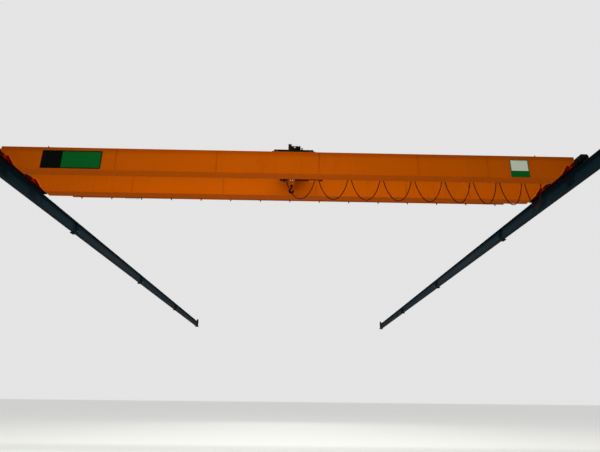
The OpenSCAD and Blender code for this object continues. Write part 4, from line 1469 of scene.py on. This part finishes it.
@dataclass
class Trolley:
    """Small parts of the trolley, its drive and its hoist.

    Attributes:
        axles: Where the wheels' axles lie along the girders.
        axle_z: Their height.
        beams: Where the crossbeams lie along the girders.
        beam_half: Half a crossbeam's width.
        frame_half: Half the width of a side frame.
        weld: Length and leg of the crossbeams' welds.
        drive_high: Height of the trolley drive's gear case.
        drive_axis: Height of its motor's axis.
        drum_rows: Number of sections along the drum, and of points round it.
        last_turn: Number of turns at which the rope's groove runs out.
        flange: Radius of the drum's flanges, and half their thickness.
        clamp_turns: Turns at which the first rope clamp sits, and from one to the next.
        guard: Gap from the rope's centre to the guard's inner side, its thickness and its width.
    """

    axles: tuple[float, float] = (8.1, 9.1)
    axle_z: float = 1.008
    beams: tuple[float, float] = (8.2, 9.0)
    beam_half: float = 0.05
    frame_half: float = 0.06
    weld: tuple[float, float] = (0.1, 0.006)
    drive_high: float = 0.195
    drive_axis: float = 0.09
    drum_rows: tuple[int, int] = (421, 96)
    last_turn: float = 14.2
    flange: tuple[float, float] = (0.17, 0.006)
    clamp_turns: tuple[float, float] = (4.3, 0.16)
    guard: tuple[float, float, float] = (0.026, 0.006, 0.072)

    def build(self, finishes: Materials) -> None:
        """Put the small parts in, and make the drive, the drum, the gear case and the motor."""
        kit = Kit("trolley_fittings", "trolley", "trolley_paint")
        self.frame_parts(kit)
        self.control_box(kit)
        kit.build(finishes)
        self.cross_drive(finishes)
        self.drum(finishes)
        self.gearbox(finishes)
        self.hoist_motor(finishes)

    def frame_parts(self, kit: Kit) -> None:
        """Weld the crossbeams, and put keeper plates on the axles and bolts on the tow arm."""
        thick, middle_z = 0.006, (PLAN.side_z + PLAN.side_top) / 2
        for y in PLAN.girder_y:
            for side in (-1, 1):
                face, turn = y + side * self.frame_half, ("X", -90 * side)
                keeper = block(0.05, 0.012, thick, 0.001).turned(*turn)
                kit.add("bolt_zinc", keeper.repeated(rows(self.axles, [face], [self.axle_z])))
                screws = rows(either_side(self.axles, 0.018), [face + side * thick], [self.axle_z])
                kit.bolts(screws, 0.006, turn=turn)
        for middle, side in zip(PLAN.girder_y, (-1, 1)):
            y = middle - side * self.frame_half
            under = bead(*self.weld).facing(1, -side)
            corner = under.turned("Y", 90).moved(self.beam_half, y, middle_z)
            for beam in self.beams:
                kit.add("trolley_paint", under.mirrored(2).moved(beam, y, PLAN.side_z), corner.moved(beam),
                        corner.mirrored(0).moved(beam))
        arm, inset = Place.of("tow_arm"), 0.02
        ends = [arm.low[0] + inset, arm.high[0] - inset]
        kit.bolts(rows(ends, [arm.high[1] - inset], [arm.high[2]]), 0.01, 0.004)

    @staticmethod
    def control_box(kit: Kit) -> None:
        """Put hinges, locks and glands on the trolley's box, and lead cables to the motors."""
        box = Place.of("trolley_control_box")
        middle, z0 = PLAN.trolley_x, PLAN.side_top + 0.014
        front = PLAN.girder_y[1] - 0.386
        hinge = cylinder(0.006, 0.04, steps=16)
        kit.add("bolt_zinc", hinge.repeated(rows([middle - 0.222], [front], [z0 + 0.05, z0 + 0.17])))
        lock = revolved([(0.012, 0), (0.012, 0.004), (0.008, 0.008), (0.002, 0.009)], 20).turned("X", 90)
        kit.add("bolt_zinc", lock.repeated(rows([middle + 0.19], [front], [z0 + 0.07, z0 + 0.2])))
        gland = joined([slab(circle(0.014, 6), 0.01, 0.001), cylinder(0.01, 0.024)]).turned("Y", 90)
        spots = rows([middle + 0.23], box.middle[1] + np.array([-0.05, 0, 0.05]), [z0 + 0.06])
        kit.add("bolt_zinc", gland.repeated(spots))
        ends = ((9.3, 4.84, 0.888), (9.26, 4.8, 0.888), (9.06, 4.86, 0.86))
        for spot, end in zip(spots, ends):
            path = smooth_line(np.array([
                spot + (0.02, 0, 0), spot + (0.09, 0, -0.02), (9.08, spot[1] - 0.03, 1.0), end,
            ]), 12, np.array([0.08, 0, 0]), np.array([0, 0, -0.12]))
            kit.add("wire_black", tube(path, 0.007, np.array([0.1, 1, 0]), sides=10))

    def cross_drive(self, finishes: Materials) -> None:
        """Make the gear case, the motor and the terminal box on the front side frame, with pale grey lids as
        painted highlights.
        """
        kit = Kit("trolley_drive", "trolley", "trolley_paint")
        place = (PLAN.trolley_x, PLAN.girder_y[0] + 0.01, PLAN.side_top)
        height, axis = self.drive_high, self.drive_axis
        painted, zinc = motor(0.058, 0.27, 20)
        case = joined([
            block(0.1, 0.13, height, 0.008).moved(-0.115, 0, 0),
            block(0.012, 0.146, height - 0.003, 0.002).moved(-0.12, 0, 0.001),
            block(0.13, 0.09, 0.046, 0.003).moved(0.03, 0, 0),
            block(0.06, 0.08, 0.075, 0.004).moved(0.25, 0, 0),
            painted.turned("Y", 90).moved(-0.066, 0, axis),
        ])
        seam = bolt(0.008, 0.003).turned("Y", 90).repeated(
            rows([-0.114], [-0.068, 0.068], np.linspace(0.02, height - 0.025, 5).tolist()))
        foot = bolt(0.01, 0.004).repeated(rows([-0.145, -0.085], [-0.055, 0.055], [height]))
        shiny = joined([seam, foot, zinc.turned("Y", 90).moved(-0.066, 0, axis)])
        # Pale grey lids on the terminal boxes: painted highlights, standing for the glints on the dark
        # drive.
        highlight_lids = joined([block(0.066, 0.055, 0.02, 0.003).turned("X", 90).moved(0.03, -0.056, axis),
                       block(0.064, 0.084, 0.008, 0.002).moved(0.25, 0, 0.075),
                       block(0.052, 0.06, 0.006, 0.002).turned("X", 90).moved(0.25, -0.04, 0.038)])
        kit.add("trolley_paint", case)
        kit.add("cabinet_paint", highlight_lids)
        kit.add("bolt_zinc", shiny)
        kit.shift(*place)
        kit.build(finishes, "trolley_drive")

    def drum(self, finishes: Materials) -> None:
        """Make the drum with its two mirrored rope grooves, and the rope's clamps.

        At the height h along the axis and the angle a, measured over the top from the fall,
        a groove's centre lies at |h| = first + pitch (n + a / 2 pi) for every whole number of
        turns n. There the radius is that of the rope's centre less the root of q2 - u2, with
        u the distance from the groove's centre and q a little more than the rope's radius.
        """
        half = PLAN.drum_half
        sections, steps = self.drum_rows
        along = np.linspace(-half, half, sections)[:, None]
        angle = np.linspace(0, 2 * math.pi, steps, endpoint=False)[None]
        turn = (np.abs(along) - PLAN.sheave_x) / PLAN.pitch - angle / (2 * math.pi)
        whole = np.round(turn)
        offset = (turn - whole) * PLAN.pitch
        count = whole + angle / (2 * math.pi)
        groove_r = PLAN.rope_r + 0.0005
        shy, run_out = 0.002, 0.3
        hollow = np.sqrt(np.clip(groove_r**2 - offset**2, 0, None)) - shy
        fade = np.clip(count / run_out + 1, 0, 1) * np.clip((self.last_turn - count) / run_out, 0, 1)
        radius = PLAN.drum_r - shy - np.clip(hollow, 0, None) * fade
        points = np.stack([np.broadcast_to(along, radius.shape), -radius * np.cos(angle),
                           radius * np.sin(angle)], axis=-1)
        rim_r, rim_half = self.flange
        low = [(0.05, -rim_half), (rim_r - shy, -rim_half), (rim_r, shy - rim_half)]
        high = [(reach, -height) for reach, height in low[::-1]]
        rim = revolved(low + high, steps, ring=True).turned("Y", 90)
        shaft = cylinder(0.025, 2 * half + 0.06).turned("Y", 90).moved(-half - 0.03)
        kit = Kit("hoist_drum", "trolley", "hoist_paint")
        kit.add("hoist_paint", grid(points), rim.moved(rim_half - half), rim.moved(half - rim_half))
        kit.add("wheel_steel", shaft)
        screws = bolt(0.01, 0.004).repeated(rows([-0.016, 0.016], [0], [0.012]))
        clamp = joined([block(0.05, 0.026, 0.012), screws]).moved(z=PLAN.drum_r + shy)
        first, step = self.clamp_turns
        for side in (-1, 1):
            for turns in (first, first + step, first + 2 * step):
                across = side * (PLAN.sheave_x + PLAN.pitch * turns)
                kit.add("bolt_zinc", clamp.turned("X", 90 - 360 * turns).moved(across))
        kit.shift(PLAN.hook_x, PLAN.drum_y, PLAN.drum_z)
        kit.build(finishes, "hoist_drum", crease=60.0)
        self.drum_guard(finishes)

    def drum_guard(self, finishes: Materials) -> None:
        """Make the black guard under the drum's left end, held by two ears."""
        gap, thick, wide = self.guard
        inner = PLAN.drum_r + gap
        shell = slab(strip(inner, inner + thick, 195, 345, 31), wide, 0.001)
        ears = [block(0.03, 0.012, wide).moved(side * (inner + 0.016), -0.046) for side in (-1, 1)]
        kit = Kit("drum_guard", "trolley", "trolley_paint")
        left = PLAN.hook_x - PLAN.drum_half + 2 * self.flange[1]
        kit.add("trolley_paint", joined([shell, *ears]).upright().moved(left, PLAN.drum_y, PLAN.drum_z))
        kit.build(finishes)

    @staticmethod
    def gearbox(finishes: Materials) -> None:
        """Make the hoist's gear case with its split flange, ribs, bolts and breather."""
        box = Place.of("hoist_gearbox")
        x0 = box.low[0]
        y, z = PLAN.drum_y, PLAN.drum_z
        kit = Kit("hoist_gearbox", "trolley", "hoist_paint")
        cover = revolved([(0.075, 0), (0.075, 0.01), (0.068, 0.014), (0.02, 0.014)], 40)
        rib = block(0.006, 0.236, 0.206, 0.001)
        kit.add("hoist_paint",
                block(0.24, 0.26, 0.22, 0.012).moved(x0 + 0.12, y, z - 0.11),
                block(0.012, 0.28, 0.236, 0.004).moved(x0 + 0.046, y, z - 0.118),
                block(0.006, 0.266, 0.226, 0.002).moved(x0 + 0.056, y, z - 0.113),
                block(0.08, 0.18, 0.14, 0.003).moved(x0 + 0.19, y, z + 0.11),
                cover.turned("Y", -90).moved(x0, y, z),
                rib.repeated([(x0 + 0.12, y, z - 0.103), (x0 + 0.2, y, z - 0.103)]))
        seam = bolt(0.008, 0.003).turned("Y", 90)
        along, upward = np.linspace(-0.11, 0.11, 5) + y, np.linspace(-0.08, 0.08, 4) + z
        kit.add("bolt_zinc",
                seam.repeated(rows([x0 + 0.052], along, either_side([z], 0.112))),
                seam.repeated(rows([x0 + 0.052], either_side([y], 0.134), upward)),
                around(bolt(0.01).moved(0.058, 0, 0.012), 6).turned("Y", -90).moved(x0, y, z),
                slab(circle(0.012, 6), 0.01, 0.001).turned("X", 90).moved(x0 + 0.16, y - 0.13, z - 0.07),
                cylinder(0.009, 0.03).moved(x0 + 0.1, y + 0.09, z + 0.11),
                bolt(0.012, 0.006).repeated(rows([x0 + 0.14], either_side([y], 0.07), [z + 0.11])))
        kit.build(finishes, "hoist_gearbox")

    @staticmethod
    def hoist_motor(finishes: Materials) -> None:
        """Make the hoist's finned motor, lying along X."""
        painted, zinc = motor(0.125, 0.446, 36, box_turn=180, waist=0.8)
        place = (Place.of("hoist_motor").low[0], PLAN.drum_y, PLAN.drum_z)
        kit = Kit("hoist_motor", "trolley", "hoist_paint")
        kit.add("hoist_paint", painted.turned("Y", 90).moved(*place))
        kit.add("bolt_zinc", zinc.turned("Y", 90).moved(*place))
        kit.build(finishes, "hoist_motor")


@dataclass
class Reeving:
    """The rope: on the drum, over the small sheave, and down to the hook block and back.

    Attributes:
        turns: Turns on either half of the drum.
        lay: Length in which a strand goes once round the rope.
        step: Length between two sections of the rope.
        sides: Number of points round the rope.
    """

    turns: float = 4.75
    lay: float = 0.09
    step: float = 0.004
    sides: int = 24

    def rope(self, path: np.ndarray, side: tuple[float, float, float] | np.ndarray) -> Shape:
        """Carry the twisted rope along a path."""
        return tube(path, PLAN.rope_r, np.asarray(side, float), self.sides, strands=6, lay=self.lay)

    def count(self, length: float) -> int:
        """Return how many sections a length of rope takes."""
        return max(4, round(length / self.step))

    def helix(self, side: int) -> np.ndarray:
        """Lay the rope's route on one half of the drum, from the fall over the top."""
        turn = np.linspace(0, self.turns, self.count(self.turns * 2 * math.pi * PLAN.drum_r))
        angle = 2 * math.pi * turn
        x = PLAN.hook_x + side * (PLAN.sheave_x + PLAN.pitch * turn)
        y = PLAN.drum_y - PLAN.drum_r * np.cos(angle)
        return np.stack([x, y, PLAN.drum_z + PLAN.drum_r * np.sin(angle)], 1)

    def bend(self) -> np.ndarray:
        """Lay the route up from one front fall, over the small sheave and down to the other."""
        over = arc(PLAN.sheave_x, 180, 0, self.count(math.pi * PLAN.sheave_x)) + (PLAN.hook_x, PLAN.equal_z)
        turn = np.insert(over, 1, PLAN.equal_y, axis=1)
        count = self.count(PLAN.equal_z - PLAN.drum_z)
        rise = np.linspace(PLAN.drum_z, PLAN.equal_z, count, endpoint=False)
        left, right = (rows([x], [PLAN.equal_y], rise) for x in (over[0, 0], over[-1, 0]))
        return np.vstack([left, turn, right[::-1]])

    def build(self, finishes: Materials) -> None:
        """Put every stretch of the rope in."""
        wound = joined([self.rope(self.helix(side), (1, 0, 0)) for side in (-1, 1)])
        upper = Kit("upper_rope", "trolley", "rope_steel")
        upper.add("rope_steel", wound, self.rope(self.bend(), (0, 1, 0)))
        upper.build(finishes, "upper_rope", crease=80.0)
        falls = []
        heights = np.linspace(PLAN.block_z, PLAN.drum_z, self.count(PLAN.drum_z - PLAN.block_z))
        for x in either_side([PLAN.hook_x], PLAN.sheave_x):
            for y in either_side([PLAN.bridge_y], PLAN.sheave_r):
                falls.append(self.rope(rows([x], [y], heights), (1, 0, 0)))
        made = piece("rope_falls_wire", joined(falls), finishes["rope_steel"], None, 80.0)
        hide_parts("rope_falls")
        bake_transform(made)
        under = arc(PLAN.sheave_r, 180, 360, self.count(math.pi * PLAN.sheave_r))
        lower = Kit("block_rope", "hook_block", "rope_steel")
        for x in either_side([PLAN.hook_x], PLAN.sheave_x):
            path = np.column_stack([np.full(len(under), x), under + (PLAN.bridge_y, PLAN.block_z)])
            lower.add("rope_steel", self.rope(path, (1, 0, 0)))
        lower.build(finishes, "block_rope", crease=80.0)


@dataclass
class HookBlock:
    """The hook block with its sheaves, and the forged hook.

    Attributes:
        stations: Angle round the seat, gap from the seat's wall, depth and width of the hook.
    """

    stations: tuple[tuple[float, float, float, float], ...] = (
        (118, 8, 46, 38), (140, -2, 54, 40), (165, -6, 62, 42), (190, -7, 66, 44), (215, -7, 70, 46),
        (240, -7, 70, 48), (265, -7, 70, 48), (290, -7, 66, 46), (315, -6, 60, 42), (340, -5, 50, 38),
        (362, -3, 40, 32), (380, 2, 30, 26), (394, 8, 19, 17), (402, 13, 9, 9),
    )

    def build(self, finishes: Materials) -> None:
        """Put the block and the hook in."""
        self.block(finishes)
        self.sheaves(finishes)
        self.hook(finishes)

    @staticmethod
    def block(finishes: Materials) -> None:
        """Make the two cheeks, the pin, the crosshead and the rods that keep the rope in."""
        foot_z = PLAN.cross_z - 0.045 - PLAN.block_z
        outline = np.vstack([arc(0.118, -33.4, 213.4, 48), [(-0.055, foot_z), (0.055, foot_z)]])
        cheek = slab(outline, 0.012, 0.002).upright().moved(z=PLAN.block_z)
        kit = Kit("hook_block", "hook_block", "block_paint")
        for side in (-1, 1):
            kit.add("block_paint", cheek.moved(side * 0.08 - 0.006))
            turn, face, outer, keeper_z = ("Y", 90 * side), side * 0.086, side * 0.1, PLAN.block_z + 0.027
            weight = cylinder(0.1, 0.014, 0.003, 56).turned(*turn)
            keeper = block(0.014, 0.06, 0.005, 0.001).turned(*turn)
            screw = bolt(0.008).turned(*turn)
            kit.add("block_paint", weight.moved(face, 0, PLAN.block_z),
                    screw.repeated(rows([side * 0.105], [-0.021, 0.021], [keeper_z])),
                    screw.repeated(rows([outer], [-0.07, 0.07], [PLAN.block_z])),
                    bolt(0.016).turned(*turn).moved(face, 0, PLAN.cross_z))
            kit.add("wheel_steel", keeper.moved(outer, 0, keeper_z))
        kit.add("wheel_steel", cylinder(0.02, 0.208, 0.002).turned("Y", 90).moved(-0.104, 0, PLAN.block_z))
        half, low, high = 0.074, 0.275, 0.385
        cover = slab(strip(0.1115, 0.1165, 222, 318, 25), 2 * half, 0.001)
        cover = cover.upright().moved(-half, 0, PLAN.block_z)
        sheet = [(-half, low), (half, low), (half, high), (-half, high)]
        front = slab(sheet, 0.005, 0.001).turned("X", 90)
        kit.add("block_paint", cover, front.moved(0, -0.055), front.moved(0, 0.06))
        roller = cylinder(0.019, 0.02, 0.003, 24).turned("X", 90)
        kit.add("pale_nylon", roller.repeated([(-0.033, -0.082, 0.405), (0.033, -0.082, 0.405)]))
        rod = cylinder(0.007, 0.16).turned("Y", 90).moved(-0.08)
        kit.add("bolt_zinc", rod.repeated(rows([0], [-0.095, 0.095], [PLAN.block_z - 0.012])))
        kit.add("block_paint", block(2 * half, 0.08, 0.06, 0.005).moved(0, 0, PLAN.cross_z - 0.03))
        kit.shift(PLAN.hook_x, PLAN.bridge_y)
        kit.build(finishes, "hook_block")

    @staticmethod
    def sheaves(finishes: Materials) -> None:
        """Make the two grooved sheaves with their hubs and thin webs."""
        hollow = arc(0.007, 160, 20, 9)[:, ::-1] * (-1, 1) + (0.101, 0)
        flank = np.array([
            (0.0203, -0.017), (0.036, -0.017), (0.038, -0.015), (0.038, -0.006), (0.082, -0.005),
            (0.086, -0.015), (0.088, -0.017), (0.104, -0.017), (0.106, -0.014),
        ])
        section = np.vstack([flank, hollow, flank[::-1] * (1, -1)])
        wheel = revolved(section, 96, ring=True).turned("Y", 90)
        kit = Kit("block_sheaves", "hook_block", "sheave_steel")
        spots = rows(either_side([PLAN.hook_x], PLAN.sheave_x), [PLAN.bridge_y], [PLAN.block_z])
        kit.add("sheave_steel", wheel.repeated(spots))
        kit.build(finishes, "block_sheaves")

    def hook(self, finishes: Materials) -> None:
        """Make the forged hook, its nut and its latch.

        The section at each station is an ellipse in the plane through the seat's axis, a
        little fuller on its inner side and slimmer on its outer side.
        """
        station = np.array(self.stations, float)
        smooth = smooth_line(station, 5, station[1] - station[0], station[-1] - station[-2])
        across, aside = circle(1, 28).T
        rings = []
        cross, seat = PLAN.cross_z, PLAN.seat_z
        neck = ((0, cross - 0.032, 0.02), (0, cross - 0.06, 0.0202), (0, cross - 0.09, 0.021),
                (-0.004, seat + 0.112, 0.0215), (-0.01, seat + 0.095, 0.022))
        for x, z, radius in neck:
            rings.append(np.stack([x - radius * across, radius * aside, np.full(len(across), z)], 1))
        for turn, gap, depth, width in smooth * (math.pi / 180, 0.001, 0.001, 0.001):
            reach = PLAN.seat_r + gap + depth / 2 * (1 + across)
            flank = width / 2 * aside * (1 - 0.14 * across)
            rings.append(np.stack([reach * math.cos(turn), flank, seat + reach * math.sin(turn)], 1))
        kit = Kit("hook", "hook", "hook_steel")
        shank = revolved([(0.0175, 0), (0.02, 0.002), (0.02, 0.062), (0.016, 0.064)], 40)
        plate = [(0, -0.014), (0.052, -0.009), (0.056, 0), (0.052, 0.009), (0, 0.014), (-0.008, 0)]
        latch = slab(plate, 0.003, 0.0008).turned("Y", 40)
        kit.add("hook_steel",
                grid(np.array(rings)),
                shank.moved(z=cross - 0.033),
                slab(circle(0.031, 6), 0.018, 0.002).moved(z=cross + 0.0303),
                cylinder(0.033, 0.07, 0.004, 40).moved(z=cross - 0.1005),
                cylinder(0.005, 0.05).turned("X", 90).moved(0.002, 0.025, seat + 0.086),
                latch.moved(0.004, 0, seat + 0.084))
        kit.shift(PLAN.hook_x, PLAN.bridge_y)
        kit.build(finishes, "hook", crease=50.0)


@dataclass
class Carriers:
    """Collars, saddle bolts and stops on the cable carriers.

    Attributes:
        festoon: The cable loops that they carry.
        saddle: Half the bolt pattern of a saddle, along the channel and across it.
        half: Half a carrier's length.
    """

    festoon: Festoon
    saddle: tuple[float, float] = (0.04, 0.011)
    half: float = 0.05

    def build(self, finishes: Materials) -> None:
        """Put the small parts on every carrier."""
        top, (along, across) = self.festoon.top, self.saddle
        collar = cylinder(0.018, 0.02, 0.003)
        bumper = cylinder(0.006, 0.008, 0.002, 16).turned("Y", 90).moved(self.half)
        for number in range(1, len(self.festoon.spans) + 1):
            body = self.festoon.body(number)
            x, y, _ = Place.of(self.festoon.carrier(number)).middle
            kit = Kit(f"{body}_fittings", body, "carrier_plastic")
            leads = either_side([x], self.festoon.lead)
            kit.add("carrier_plastic", collar.repeated(rows(leads, [y], [top - 0.018])))
            kit.bolts(rows(either_side([x], along), either_side([y], across), [top + 0.016]), 0.006, 0.003)
            kit.add("buffer_rubber", *(bumper.facing(0, side).moved(x, y, top + 0.008) for side in (1, -1)))
            kit.build(finishes)


# Studio


@dataclass(frozen=True)
class Viewpoint:
    """Where the photograph was taken from, read from its vanishing points.

    Attributes:
        width: Width of the photograph in pixels.
        centre: Its centre.
        focal: Its focal length in pixels.
        runway_end: Where lines along the runway meet.
        upright_end: Where upright lines meet.
        eye: Where the camera stands.
        sensor: Width of the camera's sensor in millimetres.
    """

    width: float = 600.0
    centre: tuple[float, float] = (300.0, 226.0)
    focal: float = 486.0
    runway_end: tuple[float, float] = (289.0, 397.0)
    upright_end: tuple[float, float] = (315.0, -1155.0)
    eye: tuple[float, float, float] = (8.58, -9.45, -6.02)
    sensor: float = 36.0

    def direction(self, end: tuple[float, float]) -> np.ndarray:
        """Return the unit direction of a vanishing point, as right, down and forward."""
        ray = np.array([end[0] - self.centre[0], end[1] - self.centre[1], self.focal])
        return ray / np.linalg.norm(ray)

    def build(self) -> None:
        """Make the camera.

        The frame's Y axis points at the runway's vanishing point, its Z axis at that of the
        uprights, drawn square to Y, and X is square to both. Read by rows instead of columns,
        the three give the camera's right, down and forward in the frame.
        """
        y = self.direction(self.runway_end)
        z = self.direction(self.upright_end)
        z -= y * (z @ y)
        z /= np.linalg.norm(z)
        x = np.cross(y, z)
        right, down, forward = np.stack([x, y, z], axis=1)
        turn = Matrix(np.stack([right, -down, -forward], axis=1).tolist()).to_4x4()
        data = bpy.data.cameras.new("viewpoint")
        data.sensor_width = self.sensor
        data.lens = self.focal / self.width * self.sensor
        data.clip_end = 400.0
        camera = bpy.data.objects.new("viewpoint", data)
        bpy.context.scene.collection.objects.link(camera)
        camera.matrix_world = Matrix.Translation(self.eye) @ turn
        bpy.context.scene.camera = camera


@dataclass(frozen=True)
class Lamp:
    """A soft lamp.

    Attributes:
        name: Its name.
        place: Where it hangs.
        aim: What it points at.
        size: Its sides, across the hall and the other way.
        power: Its power in watts.
        colour: Its red, green and blue.
        spread: How wide its beam opens, in degrees.
    """

    name: str
    place: tuple[float, float, float]
    aim: tuple[float, float, float]
    size: tuple[float, float]
    power: float
    colour: tuple[float, float, float]
    spread: float = 180.0

    def build(self) -> None:
        """Hang the lamp, its face square to the line to its aim."""
        data = bpy.data.lights.new(self.name, "AREA")
        data.shape = "RECTANGLE"
        data.size, data.size_y = self.size
        data.energy = self.power
        data.color = self.colour
        data.spread = math.radians(self.spread)
        lamp = bpy.data.objects.new(self.name, data)
        bpy.context.scene.collection.objects.link(lamp)
        way = Matrix.Translation(self.place).to_translation() - Matrix.Translation(self.aim).to_translation()
        lamp.matrix_world = Matrix.Translation(self.place) @ way.to_track_quat("Z", "Y").to_matrix().to_4x4()


@dataclass
class Studio:
    """The pale floor, the plain sky and the soft lamps.

    Attributes:
        floor_z: Height of the floor.
        floor_half: Half the floor's side.
        floor_middle: Its middle, along X and Y.
        floor_glow: Brightness that only the camera sees on it.
        sky: Brightness of the light from all round.
        backdrop: Brightness of the sky that the camera sees.
        lamps: The lamps.
    """

    floor_z: float = -7.6
    floor_half: float = 150.0
    floor_middle: tuple[float, float] = (8.5, 10.0)
    floor_glow: float = 0.4
    sky: float = 0.34
    backdrop: float = 0.78
    lamps: tuple[Lamp, ...] = (
        Lamp("front_low", (7.0, -5.0, -4.0), (7.7, 4.0, 0.4), (5.0, 5.0), 236.0, (1.0, 0.9, 0.85), 140.0),
        Lamp("overhead", (8.7, 2.6, 12.0), (8.7, 5.4, 0.5), (18.0, 3.0), 3500.0, (0.93, 1.0, 0.85)),
        Lamp("behind", (8.5, 26.0, 1.5), (8.5, 8.0, 0.5), (8.0, 8.0), 500.0, (1.0, 1.0, 1.0)),
    )

    @staticmethod
    def seen(graph: Graph) -> bpy.types.NodeSocket:
        """Return one for rays from the camera, a mirror or glass, and zero for light."""
        path = graph.add("LightPath")
        mirror = graph.math("MAXIMUM", path.outputs["Is Glossy Ray"], path.outputs["Is Transmission Ray"])
        return graph.math("MAXIMUM", path.outputs["Is Camera Ray"], mirror)

    def make_sky(self) -> None:
        """Make the world: plain light, and a pale backdrop."""
        world = bpy.data.worlds.new("sky")
        world.use_nodes = True
        bpy.context.scene.world = world
        graph = Graph(world.node_tree)
        background = next(node for node in world.node_tree.nodes if node.type == "BACKGROUND")
        light = tuple(self.sky * share for share in (0.97, 0.99, 1.0)) + (1.0,)
        pale = (self.backdrop, self.backdrop, self.backdrop, 1.0)
        colour = graph.mix(self.seen(graph), light, pale)
        graph.feed(background, {"Color": colour})

    def make_floor(self) -> None:
        """Make the pale floor, which keeps the object's shadow."""
        half = self.floor_half
        corners = [(-half, -half, 0), (half, -half, 0), (half, half, 0), (-half, half, 0)]
        mesh = bpy.data.meshes.new("floor")
        mesh.from_pydata(corners, [], [(0, 1, 2, 3)])
        floor = bpy.data.objects.new("floor", mesh)
        floor.location = (*self.floor_middle, self.floor_z)
        bpy.context.scene.collection.objects.link(floor)
        material, graph, shader = blank_material("pale_floor")
        graph.feed(shader, {
            "Base Color": (0.5, 0.49, 0.47, 1),
            "Roughness": 0.9,
            "Emission Color": (1, 1, 1, 1),
            "Emission Strength": graph.math("MULTIPLY", self.seen(graph), self.floor_glow),
        })
        mesh.materials.append(material)

    def build(self) -> None:
        """Light the scene."""
        self.make_sky()
        self.make_floor()
        for lamp in self.lamps:
            lamp.build()
        bpy.context.scene.view_settings.view_transform = "Standard"


def main() -> None:
    """Load the frame, dress it, and build every sub-assembly in order."""
    logging.basicConfig(level=logging.INFO, format="%(name)s %(message)s")
    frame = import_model()
    Viewpoint().build()
    finishes = make_finishes()
    festoon = Festoon()
    festoon.build(finishes)
    dress(frame, finishes)
    Signs().build(finishes)
    Runway().build(finishes)
    Bridge().build(finishes)
    Trolley().build(finishes)
    Reeving().build(finishes)
    HookBlock().build(finishes)
    Carriers(festoon).build(finishes)
    Studio().build()


if __name__ == "__main__":
    main()
